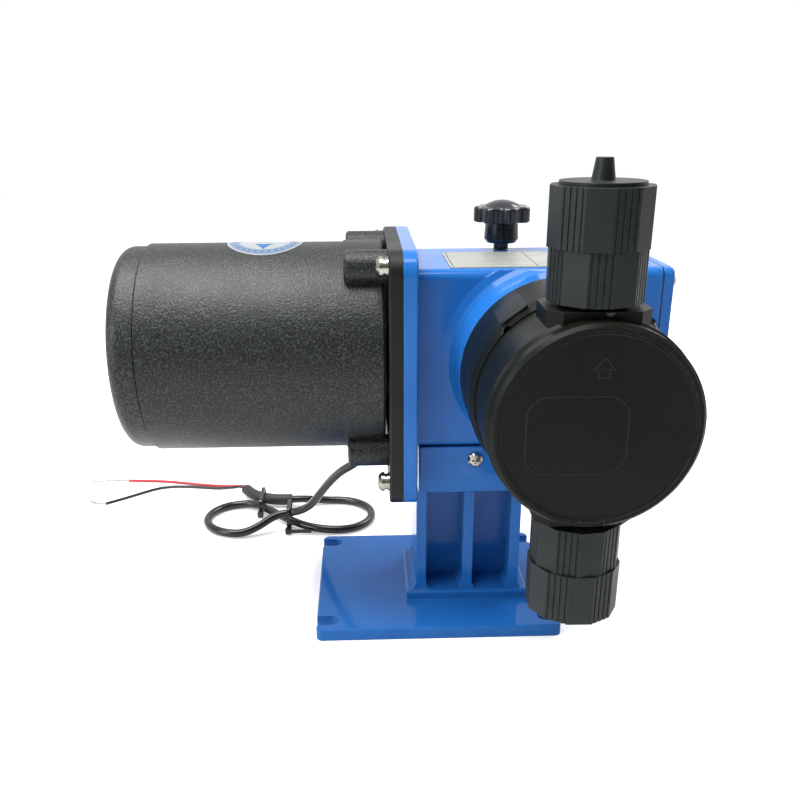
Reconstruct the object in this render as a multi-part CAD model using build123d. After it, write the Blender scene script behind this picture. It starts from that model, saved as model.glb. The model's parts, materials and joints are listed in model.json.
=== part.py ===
# Diaphragm metering pump: motor lying along X, gear housing on a stand, pump head facing -Y.
# Millimetres, +Z up. The origin is on the floor, under the crossing of the motor and head axes.
from build123d import *
import math
import os

os.makedirs("parts", exist_ok=True)

# ---------------------------------------------------------------- driving dimensions
axis_z = 166.0               # height of the motor axis and of the head axis
fit = 0.1                    # radial running clearance of shafts, balls and threads
air = 0.3                    # clearance between bodies that pass each other
stroke = 4.0                 # full travel of the push rod
ball_lift = 2.0              # travel of each valve ball

# gear housing
house_x0 = -71.1             # right face of the housing flange
house_x1 = 59.3              # joint face of the side cover
house_depth = 81.6
house_height = 99.6
house_wall = 5.0
house_round = 5.0
flange_thick = 7.6
flange_depth = 120.0
flange_top = 61.7            # flange top above the axis
flange_drop = 78.7           # flange bottom below the axis
flange_round = 12.0
flange_bore_r = 20.0
boss_front = 64.0            # front face of the head boss, forward of the axis
boss_flare_r = 8.0
gasket_thick = 0.8
cover_thick = 6.1
cover_screw_r = 1.95
cover_screw_bite = 9.0       # length of a cover screw inside its post
cover_seat = 6.0             # inner boss of the side cover past its bearing
post_r = 6.5                 # screw posts in the housing corners
post_inset = 8.5
post_length = 14.0
web_x = -38.0                # left face of the bearing web
web_thick = 7.0
web_window_r = 9.0

# stand
base_x0 = -130.6
base_length = 146.5
base_y0 = -56.0
base_depth = 120.0
base_thick = 7.4
base_round = 4.0
plinth_height = 5.6
plinth_margin = 6.0
notch_width = 10.0
notch_length = 13.0
notch_spacing = 99.0
column_x0 = -69.2
column_length = 63.8
column_depth = 50.0
column_web = 12.0
rib_thick = 6.2
rib_flare = 4.0
stand_head_height = 17.6     # screwed band of the stand
stand_neck_height = 11.2     # tapered band below it
stand_head_taper = 3.0
tenon_length = 46.0
tenon_depth = 50.0
tenon_height = 14.0
tenon_gap = 0.3
stand_screw_r = 2.5
stand_screw_bite = 8.0       # length of a stand screw inside the tenon
stand_screw_drop = 7.4       # stand screws below the housing floor

# motor
plate_thick = 7.5
barrel_r = 59.2
barrel_wall = 3.0
barrel_x0 = -218.0
collar_step = 0.8            # collar radius over the barrel
collar_length = 22.0
collar_gap = 1.8             # collar face to plate
cap_step = 1.5               # rear cap radius under the barrel
seam_width = 0.8             # groove between barrel and rear cap
seam_depth = 1.0
cap_length = 16.0
cap_round = 7.0
cap_spigot = 4.0
end_wall = 9.0
lug_r = 9.0
lug_y = 38.0
lug_z = 51.5
lug_length = 23.0
motor_bolt_r = 2.5
motor_bolt_length = 24.0
flange_screw_y = 53.0
flange_screw_top = 54.0      # upper flange screws above the axis
flange_screw_drop = 64.5     # lower flange screws below the axis
flange_screw_r = 3.0
flange_screw_head_r = 5.3
flange_screw_head = 4.0
flange_screw_short = 1.6     # screw end inside the housing flange
washer_r = 5.0
washer_thick = 1.4
magnet_thick = 6.0
magnet_length = 70.0
magnet_angle = 120.0
magnet_gap = 1.7             # air gap between magnets and armature
core_length = 62.0
core_slots = 12
core_slot_width = 5.0
core_slot_depth = 14.0
core_x0 = -190.0
winding_inset = 6.5          # windings stay under the core's rim
winding_length = 9.0
commutator_r = 14.0
commutator_length = 12.0
commutator_x0 = -214.5
brush_size = 6.0
brush_length = 14.0
holder_half = 5.0            # half width of the brush carrier
holder_thick = 6.0
shaft_r = 5.0
bearing_width = 8.0
bearing_r = 13.0
gland_r = 6.5
gland_length = 7.0
gland_angle = 20.0           # gland swung back from straight down
gland_x = -98.0

# gear train
gear_module = 0.8
pinion_teeth = 14
wheel_teeth = 42
pressure_angle = 20.0
tooth_addendum = 0.8         # in modules
tooth_dedendum = 1.1         # in modules
backlash = 0.16
gear_width = 9.0
first_mesh_x = -66.0
second_mesh_x = -51.5
wheel_hub_r = 8.0
layshaft_r = 3.0
small_bearing_r = 8.0
small_bearing_width = 5.0
cam_shaft_r = 6.0
cam_bearing_r = 15.0
cam_hub_r = 9.5
cam_width = 12.0
gear_bearing_r = 14.0
gear_bearing_width = 7.0

# push rod, spring and seals
yoke_width = 13.0
yoke_front = 8.0
yoke_rear = 5.7
yoke_rail = 5.0
rod_r = 8.0
rod_front = 103.0            # front end of the rod, forward of the axis
bush_wall = 3.0
bush_length = 9.0
spring_wire_r = 1.1
spring_r = 12.2
spring_turns = 5
seal_r = 15.0
seal_length = 5.0

# stroke setting
plunger_r = 7.0
plunger_tail_r = 5.0
plunger_travel = 3.9
key_width = 3.0
key_height = 1.2
dial_hub_r = 10.0
dial_rim_r = 23.0
dial_length = 16.0
dial_flutes = 12
dial_flute_r = 2.2
rear_boss_r = 19.0
rear_boss_length = 9.0
retainer_thick = 3.0
retainer_screw_r = 1.5
retainer_screw_count = 3
clamp_x = -16.0              # axis of the clamp stud
clamp_y = 31.0
clamp_depth = 7.0
clamp_height = 26.0
clamp_slit = 1.6
stud_r = 3.0
knob_stem_r = 4.4
knob_stem = 4.0
knob_hub_r = 10.2
knob_hub = 12.0
knob_lobe_r = 5.2
knob_lobes = 7
knob_lobe_ring = 11.6
knob_core_r = 13.6           # valleys between the lobes
knob_valley_round = 1.2
knob_edge_round = 1.6
knob_disc = 9.0
knob_dome = 3.6

# pump head
bracket_front = 108.5        # joint face between bracket and pump head
bracket_front_step = 1.4     # front of the bracket under its rear radius
bracket_wall = 9.0
bracket_floor = 8.0
bracket_pad_angle = 37.0
bracket_pad_width = 15.0
bracket_pad_height = 0.7
bracket_pad_inset = 4.0
bracket_pad_length = 26.0
weep_r = 3.0                 # weep hole under the bracket
weep_inset = 18.0
diaphragm_r = 34.0
diaphragm_rim = 2.5
diaphragm_film = 1.6
diaphragm_hub_r = 14.0
diaphragm_hub = 6.0
clamp_ring = 6.0             # radial width of the clamped rim
chamber_depth = 6.0
head_step = 0.9              # pump head radius under the bracket front
head_front = 141.5
port_block_half = 22.5
port_block_rise = 1.7        # port block face outside the head radius
port_block_chamfer = 6.0
valve_y = -125.0
channel_r = 4.5
port_socket_r = 13.0
port_socket_depth = 12.0
head_bolts = 6
head_bolt_out = 5.0          # head bolts outside the diaphragm
head_bolt_r = 3.0
head_bolt_head_r = 5.0
head_bolt_head = 6.0
head_bolt_length = 32.0
bracket_bolts = 4
bracket_bolt_inset = 5.3     # bracket bolts inside the boss radius
bracket_bolt_r = 2.5
bracket_bolt_head_r = 4.2
bracket_bolt_head = 5.0
cover_step = 1.1             # head cover radius under the pump head
cover_length = 8.5
cover_face = 3.0
cover_rim = 3.0
cover_edge = 1.6
cover_rim_land = 4.0
cover_dish = 0.6
pry_width = 11.0
pry_depth = 3.0

# valves
body_across = 42.2           # across the corners of the valve body grip
union_across = 43.8          # across the corners of the union nut
grip_facets = 12
grip_grooves = 4
groove_width = 0.9
groove_depth = 0.55
body_gap = 2.0               # port face to valve body grip, filled by the seal
body_height = 22.3
union_height = 25.0
union_lip = 3.0
union_gap = 0.2
spigot_r = 18.8
spigot_length = 13.5
ball_chamber_r = 6.3
ball_r = 5.5
ball_play = 0.05
seat_r = 8.0
seat_bore_r = 4.0
seat_height = 5.0
port_seal_wire = 1.0
port_seal_r = 14.4
union_seal_wire = 1.5
union_seal_r = 15.0
plug_disc_r = 17.9
plug_rise = 1.6
plug_nub_base_r = 5.0
plug_nub_top_r = 3.6
plug_nub = 9.0
discharge_body_turn = -8.5   # first ribbed facet, degrees from the front
discharge_union_turn = 14.0
suction_body_turn = 22.0
suction_union_turn = 31.0

# motor cable: middle of the jacket, from the gland to the hank and its stripped end
cable_r = 3.0
sleeve_r = 4.4
core_wire_r = 1.1
tie_width = 2.6
tie_thick = 1.2
tie_head = 2.2               # half size of a tie's lock
tie_tail = 17.0

# ---------------------------------------------------------------- derived places
house_y = house_depth / 2
house_z0 = axis_z - house_height / 2
house_z1 = axis_z + house_height / 2
flange_x0 = house_x0 - flange_thick
plate_x0 = flange_x0 - plate_thick
collar_x1 = plate_x0 - collar_gap
collar_x0 = collar_x1 - collar_length
cap_x0 = barrel_x0 - cap_length
boss_r = house_height / 2
bracket_front_r = boss_r - bracket_front_step
head_r = bracket_front_r - head_step
cover_r = head_r - cover_step
port_block_top = head_r + port_block_rise
head_bolt_pcd = 2 * (diaphragm_r + head_bolt_out)
bracket_bolt_pcd = 2 * (boss_r - bracket_bolt_inset)
barrel_in_r = barrel_r - barrel_wall
collar_r = barrel_r + collar_step
cap_r = barrel_r - cap_step
core_r = barrel_in_r - magnet_thick - magnet_gap
winding_r = core_r - winding_inset
base_top = base_thick
base_x1 = base_x0 + base_length
base_y1 = base_y0 + base_depth
base_y = (base_y0 + base_y1) / 2
column_x1 = column_x0 + column_length
column_x = (column_x0 + column_x1) / 2
neck_z1 = house_z0 - stand_head_height
neck_z0 = neck_z1 - stand_neck_height
pitch_pinion = gear_module * pinion_teeth / 2
pitch_wheel = gear_module * wheel_teeth / 2
gear_centres = pitch_pinion + pitch_wheel
pinion_core_r = pitch_pinion - tooth_dedendum * gear_module - 0.3
layshaft_z = axis_z - gear_centres
cam_throw = stroke / 2
cam_sweep = cam_bearing_r + cam_throw
yoke_y0 = -(cam_sweep + air)              # front face of the yoke window
yoke_y1 = cam_sweep + air + stroke        # rear face of the yoke window
yoke_half = cam_sweep + 1.5               # half height of the yoke window
yoke_back = yoke_y1 + yoke_rear
yoke_nose = yoke_y0 - yoke_front
plunger_tip = yoke_back + plunger_travel + air
house_in_y = house_y - house_wall
rear_face = house_y + rear_boss_length
bush_y1 = -boss_front + bush_length
spring_seat = bush_y1
gear_web_x1 = web_x + web_thick
side_cover_x0 = house_x1 + gasket_thick
head_back = bracket_front
top_port_z = axis_z + port_block_top
low_port_z = axis_z - port_block_top


# ---------------------------------------------------------------- helpers
def block(x0, x1, y0, y1, z0, z1):
    return Pos((x0 + x1) / 2, (y0 + y1) / 2, (z0 + z1) / 2) * Box(x1 - x0, y1 - y0, z1 - z0)


def bar_x(r, x0, x1, y=0.0, z=axis_z):
    return Pos((x0 + x1) / 2, y, z) * Rot(0, 90, 0) * Cylinder(r, x1 - x0)


def bar_y(r, y0, y1, x=0.0, z=axis_z):
    return Pos(x, (y0 + y1) / 2, z) * Rot(90, 0, 0) * Cylinder(r, y1 - y0)


def bar_z(r, z0, z1, x=0.0, y=0.0):
    return Pos(x, y, (z0 + z1) / 2) * Cylinder(r, z1 - z0)


def turned_y(profile, x=0.0, z=axis_z):
    # profile: (radius, distance forward of the axis) corners, turned about the head axis
    wire = Polyline([(r, 0, d) for r, d in profile], close=True)
    solid = revolve(make_face(wire), Axis.Z)
    return Pos(x, 0, z) * Rot(90, 0, 0) * solid


def turned_x(profile, y=0.0, z=axis_z):
    # profile: (radius, x) corners, turned about a line along X
    wire = Polyline([(r, 0, x) for r, x in profile], close=True)
    solid = revolve(make_face(wire), Axis.Z)
    return Pos(0, y, z) * Rot(0, 90, 0) * solid


def turned_z(profile, x=0.0, y=0.0):
    wire = Polyline([(r, 0, z) for r, z in profile], close=True)
    return Pos(x, y, 0) * revolve(make_face(wire), Axis.Z)


def ring_places(count, pcd, start):
    # x and z offsets of holes on a pitch circle round the head axis
    places = []
    for k in range(count):
        turn = math.radians(start + 360.0 * k / count)
        places.append((pcd / 2 * math.cos(turn), pcd / 2 * math.sin(turn)))
    return places


def pan_head(r, height, recess_r):
    # pan head with a cross recess, seated on z = 0, facing +Z
    head = turned_z([(0, 0), (r, 0), (r, height * 0.45), (r * 0.72, height * 0.86), (0, height)])
    slot_width = recess_r * 0.42
    for turn in (0, 90):
        slot = Pos(0, 0, height) * Rot(0, 0, turn) * Box(recess_r * 2, slot_width, height)
        head -= slot
    return head


def cap_screw(r, length, head_r, head_height):
    # socket screw: shank down from z = 0, head up, facing +Z
    screw = bar_z(r, -length, 0) + bar_z(head_r, 0, head_height)
    socket = Pos(0, 0, head_height * 0.5) * extrude(RegularPolygon(head_r * 0.55, 6), head_height)
    return screw - socket


def toward(x, y, z, direction):
    # location that carries +Z of a fastener onto the given direction
    turns = {"-x": Rot(0, -90, 0), "+x": Rot(0, 90, 0), "-y": Rot(90, 0, 0), "+y": Rot(-90, 0, 0)}
    return Pos(x, y, z) * turns[direction]


def group(solids):
    return Compound(children=list(solids))


def save(shape, name):
    shape.label = name
    export_step(shape, f"parts/{name}.step")


# ---------------------------------------------------------------- gears
def tooth_half_angle(radius, teeth):
    # half the angle that one involute tooth fills at a radius
    pitch_r = gear_module * teeth / 2
    base_r = pitch_r * math.cos(math.radians(pressure_angle))
    pitch_half = (math.pi * gear_module / 2 - backlash) / 2 / pitch_r
    alpha_pitch = math.radians(pressure_angle)
    inv_pitch = math.tan(alpha_pitch) - alpha_pitch
    if radius <= base_r:
        return pitch_half + inv_pitch
    alpha = math.acos(base_r / radius)
    return pitch_half + inv_pitch - (math.tan(alpha) - alpha)


def gear_outline(teeth, phase):
    # closed outline of an involute gear; phase is the angle of the first tooth's middle
    pitch_r = gear_module * teeth / 2
    root_r = pitch_r - tooth_dedendum * gear_module
    tip_r = pitch_r + tooth_addendum * gear_module
    base_r = pitch_r * math.cos(math.radians(pressure_angle))
    flank_start = max(root_r, base_r)
    radii = [root_r]
    for share in (0.0, 0.34, 0.67, 1.0):
        radii.append(flank_start + (tip_r - flank_start) * share)
    if flank_start == root_r:
        radii = radii[1:]
    points = []
    for k in range(teeth):
        middle = phase + 2 * math.pi * k / teeth
        for radius in radii:
            turn = middle - tooth_half_angle(radius, teeth)
            points.append((radius * math.cos(turn), radius * math.sin(turn)))
        for radius in reversed(radii):
            turn = middle + tooth_half_angle(radius, teeth)
            points.append((radius * math.cos(turn), radius * math.sin(turn)))
    return points


def gear(teeth, phase, bore_r, width):
    body = extrude(make_face(Polyline(gear_outline(teeth, phase), close=True)), width)
    if bore_r > 0:
        body -= bar_z(bore_r, -1, width + 1)
    return body


def gear_on_x(teeth, first_tooth_down, x0, z, bore_r, extra=None):
    # the outline's own X points down once the gear lies across the X axis
    step = 2 * math.pi / teeth
    phase = 0.0 if first_tooth_down else step / 2
    body = gear(teeth, phase, bore_r, gear_width)
    if extra is not None:
        body = extra(body)
    return Pos(x0, 0, z) * Rot(0, 90, 0) * body


# ---------------------------------------------------------------- stand
def base_stand():
    plate = block(base_x0, base_x1, base_y0, base_y1, 0, base_thick)
    plate = fillet(plate.edges().filter_by(Axis.Z), base_round)
    plate = chamfer(plate.faces().sort_by(Axis.Z)[-1].edges(), 0.8)
    plinth_z = base_top + plinth_height
    half = column_depth / 2 + plinth_margin / 2
    plinth = block(column_x0 - plinth_margin, column_x1 + plinth_margin,
                   base_y - half, base_y + half, base_top, plinth_z)
    plinth = chamfer(plinth.faces().sort_by(Axis.Z)[-1].edges(), 1.2)
    column = block(column_x0, column_x1, base_y - column_web / 2, base_y + column_web / 2, plinth_z, neck_z0)
    rib_step = (column_length - rib_thick) / 2
    for k in range(3):
        x0 = column_x0 + rib_step * k
        rib = block(x0, x0 + rib_thick, base_y - column_depth / 2, base_y + column_depth / 2, plinth_z, neck_z0)
        foot_profile = [(x0 - rib_flare / 2, plinth_z), (x0 + rib_thick + rib_flare / 2, plinth_z),
                        (x0 + rib_thick, plinth_z + rib_flare), (x0, plinth_z + rib_flare)]
        foot_wire = Polyline([(x, 0, z) for x, z in foot_profile], close=True)
        foot = extrude(make_face(foot_wire), column_depth / 2, both=True)
        column += rib + Pos(0, base_y, 0) * foot
    neck = loft([Pos(column_x, 0, neck_z0) * Rectangle(column_length, house_depth - 2 * stand_head_taper),
                 Pos(column_x, 0, neck_z1) * Rectangle(column_length, house_depth)])
    head = block(column_x0, column_x1, -house_y, house_y, neck_z1, house_z0)
    head = chamfer(head.edges().filter_by(Axis.Z), 0.8)
    pocket = block(column_x - tenon_length / 2 - tenon_gap, column_x + tenon_length / 2 + tenon_gap,
                   -tenon_depth / 2 - tenon_gap, tenon_depth / 2 + tenon_gap,
                   house_z0 - tenon_height - tenon_gap, house_z0 + 1)
    stand = plate + plinth + column + neck + head - pocket
    for x0, x1 in ((base_x0 - 1, base_x0 + notch_length), (base_x1 - notch_length, base_x1 + 1)):
        for side in (-1, 1):
            y = base_y + side * notch_spacing / 2
            end = x1 - notch_width / 2 if x0 < base_x0 else x0 + notch_width / 2
            straight = (x0, end) if x0 < base_x0 else (end, x1)
            stand -= block(straight[0], straight[1], y - notch_width / 2, y + notch_width / 2, -1, base_thick + 1)
            stand -= bar_z(notch_width / 2, -1, base_thick + 1, end, y)
    screw_z = house_z0 - stand_screw_drop
    for side in (-1, 1):
        stand -= bar_y(stand_screw_r + fit, min(0, side * house_depth), max(0, side * house_depth),
                       column_x, screw_z)
    return stand


def stand_screws():
    screws = []
    screw_z = house_z0 - stand_screw_drop
    depth = house_y - tenon_depth / 2 + stand_screw_bite
    for direction, side in (("-y", -1), ("+y", 1)):
        screw = pan_head(4.2, 2.6, 2.2) + bar_z(stand_screw_r, -depth, 0)
        screws.append(toward(column_x, side * house_y, screw_z, direction) * screw)
    return group(screws)


# ---------------------------------------------------------------- gear housing
def housing_outline(margin=0.0):
    return RectangleRounded(house_depth - 2 * margin, house_height - 2 * margin, house_round - min(margin, 4))


def gear_housing():
    box = Pos(house_x0, 0, axis_z) * Rot(0, 90, 0) * Rot(0, 0, 90) * extrude(
        housing_outline(), house_x1 - house_x0)
    flange_mid = axis_z + (flange_top - flange_drop) / 2
    flange = Pos(flange_x0, 0, flange_mid) * Rot(0, 90, 0) * Rot(0, 0, 90) * extrude(
        RectangleRounded(flange_depth, flange_top + flange_drop, flange_round), flange_thick)
    flange = chamfer(flange.faces().sort_by(Axis.X)[-1].edges(), 0.7)
    flare_r = boss_r + boss_flare_r
    far, near = boss_flare_r * 0.45, boss_flare_r * 0.16
    boss = turned_y([(0, house_in_y), (flare_r, house_y), (boss_r + far, house_y + near),
                     (boss_r + near, house_y + far), (boss_r, house_y + boss_flare_r),
                     (boss_r, boss_front), (0, boss_front)])
    boss = boss & block(-flare_r - 1, flare_r + 1, -boss_front - 1, 0, house_z0, house_z1)
    rear_boss = bar_y(rear_boss_r, house_y - 1, rear_face)
    tenon = block(column_x - tenon_length / 2, column_x + tenon_length / 2, -tenon_depth / 2, tenon_depth / 2,
                  house_z0 - tenon_height, house_z0 + 1)
    shell = box + flange + boss + rear_boss + tenon
    cavity = Pos(house_x0, 0, axis_z) * Rot(0, 90, 0) * Rot(0, 0, 90) * extrude(
        RectangleRounded(2 * house_in_y, house_height - 2 * house_wall, 2.0), house_x1 - house_x0 + 1)
    shell -= cavity
    # bearing web, with a window for the oil beside the bearings
    web = block(web_x, gear_web_x1, -house_in_y - 1, house_in_y + 1,
                house_z0 + house_wall - 1, house_z1 - house_wall + 1)
    window_z = axis_z + house_height / 2 - house_wall - web_window_r - 3
    for side in (-1, 1):
        y = side * (house_in_y - web_window_r - 3)
        web -= bar_x(web_window_r, web_x - 1, gear_web_x1 + 1, y, window_z)
        web -= bar_x(web_window_r, web_x - 1, gear_web_x1 + 1, y, 2 * axis_z - window_z)
    shell += web
    shell -= bar_x(gear_bearing_r, web_x - 1, gear_web_x1 + 1)
    shell -= bar_x(small_bearing_r, web_x - 1, web_x + small_bearing_width, 0, layshaft_z)
    # wall toward the motor: motor pilot and the layshaft's left bearing
    shell -= bar_x(flange_bore_r, flange_x0 - 1, house_x0 + 1)
    shell += bar_x(small_bearing_r + 3, house_x0 - 2, house_x0 + 0.4, 0, layshaft_z)
    shell -= bar_x(flange_bore_r, flange_x0 - 1, house_x0 + 1)
    shell -= bar_x(small_bearing_r, house_x0 - small_bearing_width + 0.4, house_x0 + 1, 0, layshaft_z)
    # push rod bore: spring pocket, bush seat
    shell -= bar_y(spring_r + spring_wire_r + 1.2, spring_seat, -house_in_y + 1)
    shell -= bar_y(rod_r + bush_wall, -boss_front - 1, bush_y1 + 1)
    # rear boss: hub of the stroke dial
    shell -= bar_y(plunger_r + fit, house_in_y - 1, house_y + 3)
    shell -= block(-key_width / 2 - fit, key_width / 2 + fit, house_in_y - 1, house_y + 2.5,
                   axis_z + plunger_r - 1, axis_z + plunger_r + key_height + fit)
    shell -= bar_y(dial_hub_r + 2.5 + fit, house_y + 2.0, rear_face + 1)
    # posts for the side cover screws
    for y, z in cover_corners():
        post = bar_x(post_r, house_x1 - post_length, house_x1, y, z)
        post = post & block(0, house_x1, -house_y + 1, house_y - 1, house_z0 + 1, house_z1 - 1)
        shell += post
        shell -= bar_x(cover_screw_r + fit / 2, house_x1 - cover_screw_bite - 2, house_x1 + 1, y, z)
    # fasteners
    for y, z in flange_corners():
        shell -= bar_x(flange_screw_r + fit, flange_x0 - 1, house_x0 - flange_screw_short / 2, y, z)
    for dx, dz in ring_places(bracket_bolts, bracket_bolt_pcd, 45):
        shell -= bar_y(bracket_bolt_r, -boss_front - 1, -boss_front + 14, dx, axis_z + dz)
    screw_z = house_z0 - stand_screw_drop
    for side in (-1, 1):
        y_out = side * tenon_depth / 2
        y_in = y_out - side * (stand_screw_bite + 4)
        shell -= bar_y(stand_screw_r + fit, min(y_in, y_out + side), max(y_in, y_out + side),
                       column_x, screw_z)
    shell -= bar_z(stud_r + fit, house_z1 - house_wall - 1, house_z1 + 1, clamp_x, clamp_y)
    for x, z in retainer_places():
        shell -= bar_y(retainer_screw_r, rear_face - 6, rear_face + 1, x, z)
    return shell


def cover_corners():
    y = house_y - post_inset
    z = house_height / 2 - post_inset
    return [(sy * y, axis_z + sz * z) for sy in (-1, 1) for sz in (-1, 1)]


def flange_corners():
    places = []
    for side in (-1, 1):
        places.append((side * flange_screw_y, axis_z + flange_screw_top))
        places.append((side * flange_screw_y, axis_z - flange_screw_drop))
    return places


def lug_corners():
    return [(sy * lug_y, axis_z + sz * lug_z) for sy in (-1, 1) for sz in (-1, 1)]


def cover_gasket():
    sheet = Pos(house_x1, 0, axis_z) * Rot(0, 90, 0) * Rot(0, 0, 90) * extrude(
        housing_outline(0.4), gasket_thick)
    sheet -= block(house_x1 - 1, side_cover_x0 + 1, -house_in_y, house_in_y,
                   house_z0 + house_wall + 2 * post_inset - 4, house_z1 - house_wall - 2 * post_inset + 4)
    for y, z in cover_corners():
        sheet -= bar_x(2.2, house_x1 - 1, side_cover_x0 + 1, y, z)
    return sheet


def side_cover():
    plate = Pos(side_cover_x0, 0, axis_z) * Rot(0, 90, 0) * Rot(0, 0, 90) * extrude(
        housing_outline(), cover_thick)
    plate = fillet(plate.faces().sort_by(Axis.X)[-1].edges(), 2.4)
    seat_x0 = side_cover_x0 - gear_bearing_width - cover_seat
    plate += bar_x(gear_bearing_r + 4, seat_x0, side_cover_x0 + 1)
    plate -= bar_x(gear_bearing_r, seat_x0 - 1, seat_x0 + gear_bearing_width)
    plate -= bar_x(cam_shaft_r + 2, seat_x0 - 1, side_cover_x0 + 2)
    for y, z in cover_corners():
        plate -= bar_x(2.2, side_cover_x0 - 1, side_cover_x0 + cover_thick + 1, y, z)
    return plate


def side_cover_screws():
    screws = []
    for y, z in cover_corners():
        screw = pan_head(3.8, 2.6, 2.0) + bar_z(cover_screw_r, -(cover_thick + gasket_thick + cover_screw_bite), 0)
        screws.append(toward(side_cover_x0 + cover_thick, y, z, "+x") * screw)
    return group(screws)


# ---------------------------------------------------------------- motor
def motor_plate():
    mid = axis_z + (flange_top - flange_drop) / 2
    plate = Pos(plate_x0, 0, mid) * Rot(0, 90, 0) * Rot(0, 0, 90) * extrude(
        RectangleRounded(flange_depth, flange_top + flange_drop, flange_round), plate_thick)
    plate = chamfer(plate.faces().sort_by(Axis.X)[0].edges(), 0.9)
    plate -= bar_x(flange_bore_r, plate_x0 - 1, flange_x0 + 1)
    for y, z in flange_corners():
        plate -= bar_x(flange_screw_r + fit, plate_x0 - 1, flange_x0 + 1, y, z)
    for y, z in lug_corners():
        plate -= bar_x(motor_bolt_r + fit, plate_x0 - 1, flange_x0 + 1, y, z)
        plate -= bar_x(motor_bolt_r * 2, flange_x0 - 5, flange_x0 + 1, y, z)
    return plate


def motor_bolts():
    bolts = []
    for y, z in lug_corners():
        bolt = cap_screw(motor_bolt_r, motor_bolt_length, motor_bolt_r * 1.8, 4.6)
        bolts.append(toward(flange_x0 - 5, y, z, "+x") * bolt)
    return group(bolts)


def flange_screws():
    screws = []
    length = plate_thick + flange_thick + 2 * washer_thick - flange_screw_short
    for y, z in flange_corners():
        screw = pan_head(flange_screw_head_r, flange_screw_head, 2.7) + bar_z(flange_screw_r, -length, 0)
        screws.append(toward(plate_x0 - 2 * washer_thick, y, z, "-x") * screw)
    return group(screws)


def flange_washers():
    # a flat washer on the plate and a split spring washer over it, at each flange screw
    washers = []
    for y, z in flange_corners():
        for layer, outer_r in ((0, washer_r), (1, washer_r - 0.6)):
            x1 = plate_x0 - layer * washer_thick
            washer = bar_x(outer_r, x1 - washer_thick, x1, y, z)
            washer -= bar_x(flange_screw_r + fit, x1 - 9, x1 + 9, y, z)
            if layer == 1:
                washer -= block(x1 - 9, x1 + 9, y, y + outer_r + 1, z - 0.4, z + 0.4)
            washers.append(washer)
    return group(washers)


def motor_barrel():
    shell = bar_x(barrel_r, barrel_x0, collar_x0 + 1) + bar_x(collar_r, collar_x0, collar_x1)
    shell = chamfer(shell.faces().sort_by(Axis.X)[-1].edges(), 1.2)
    for y, z in lug_corners():
        lug = bar_x(lug_r, plate_x0 - lug_length, plate_x0, y, z)
        lug = chamfer(lug.faces().sort_by(Axis.X)[0].edges(), 1.4)
        root = math.hypot(y, z - axis_z)
        web_y = y * (barrel_r - 12) / root
        web_z = axis_z + (z - axis_z) * (barrel_r - 12) / root
        lug = lug + bar_x(lug_r, plate_x0 - lug_length + 1.4, collar_x1, web_y, web_z)
        shell += lug
    shell -= bar_x(barrel_in_r, barrel_x0 - 1, collar_x1 - end_wall)
    shell += bar_x(flange_bore_r - fit, collar_x1 - 1, plate_x0 + plate_thick - 1)
    shell -= bar_x(bearing_r, collar_x1 - end_wall - 1, collar_x1 - end_wall + bearing_width)
    shell -= bar_x(shaft_r + 1.5, collar_x1 - 4, plate_x0 + plate_thick + 1)
    for y, z in lug_corners():
        shell -= bar_x(motor_bolt_r + 0.02, plate_x0 - motor_bolt_length + plate_thick - 6, plate_x0 + 1, y, z)
    tilt = math.radians(gland_angle)
    gland_hole = Pos(gland_x, collar_r * math.sin(tilt), axis_z - collar_r * math.cos(tilt)) * Rot(
        gland_angle, 0, 0) * Cylinder(cable_r + 0.6, 12)
    return shell - gland_hole


def motor_rear_cap():
    profile = bar_x(cap_r, cap_x0, barrel_x0)
    cap = fillet(profile.faces().sort_by(Axis.X)[0].edges(), cap_round)
    seam = bar_x(cap_r + 1, barrel_x0 - seam_width, barrel_x0 + 1)
    cap -= seam - bar_x(cap_r - seam_depth, cap_x0, barrel_x0 + 2)
    cap += bar_x(barrel_in_r - 0.05, barrel_x0 - 1, barrel_x0 + cap_spigot)
    cap -= bar_x(barrel_in_r - 4, cap_x0 + 6, barrel_x0 + 6)
    cap += bar_x(bearing_r + 4, cap_x0 + 5, cap_x0 + 5 + bearing_width)
    return cap - bar_x(bearing_r, cap_x0 + 5, cap_x0 + 6 + bearing_width)


def field_magnets():
    inner_r = barrel_r - barrel_wall
    ring = bar_x(inner_r - 0.02, core_x0 - 4, core_x0 - 4 + magnet_length)
    ring -= bar_x(inner_r - magnet_thick, core_x0 - 5, core_x0 - 3 + magnet_length)
    gap_half = math.radians((180 - magnet_angle) / 2)
    reach = barrel_r + 20
    y, z = reach * math.cos(gap_half), reach * math.sin(gap_half)
    magnets = []
    for side in (-1, 1):
        wedge = Polyline([(0, 0, 0), (0, side * y, z), (0, side * reach, 0), (0, side * y, -z)], close=True)
        cut = Pos(core_x0 - 6, 0, axis_z) * extrude(make_face(wedge), magnet_length + 6, dir=(1, 0, 0))
        magnets.append(cut)
    upper = ring - magnets[0] - magnets[1]
    return group(upper.solids())


def bearings(places, outer_r, inner_r, width):
    rings = []
    for x0, y, z in places:
        ring = bar_x(outer_r, x0, x0 + width, y, z) - bar_x(inner_r, x0 - 1, x0 + width + 1, y, z)
        for x in (x0, x0 + width):
            groove = bar_x(outer_r - 1.8, x - 0.5, x + 0.5, y, z)
            ring -= groove - bar_x(inner_r + 1.8, x - 1, x + 1, y, z)
        rings.append(ring)
    return rings


def motor_shaft():
    # shaft with its pinion cut on the end; one tooth points down into the layshaft wheel
    shaft = bar_x(shaft_r, cap_x0 + 6, first_mesh_x - 3)
    neck = bar_x(pinion_core_r, first_mesh_x - 4, first_mesh_x + 1)
    return shaft + neck + gear_on_x(pinion_teeth, True, first_mesh_x, axis_z, 0)


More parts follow.
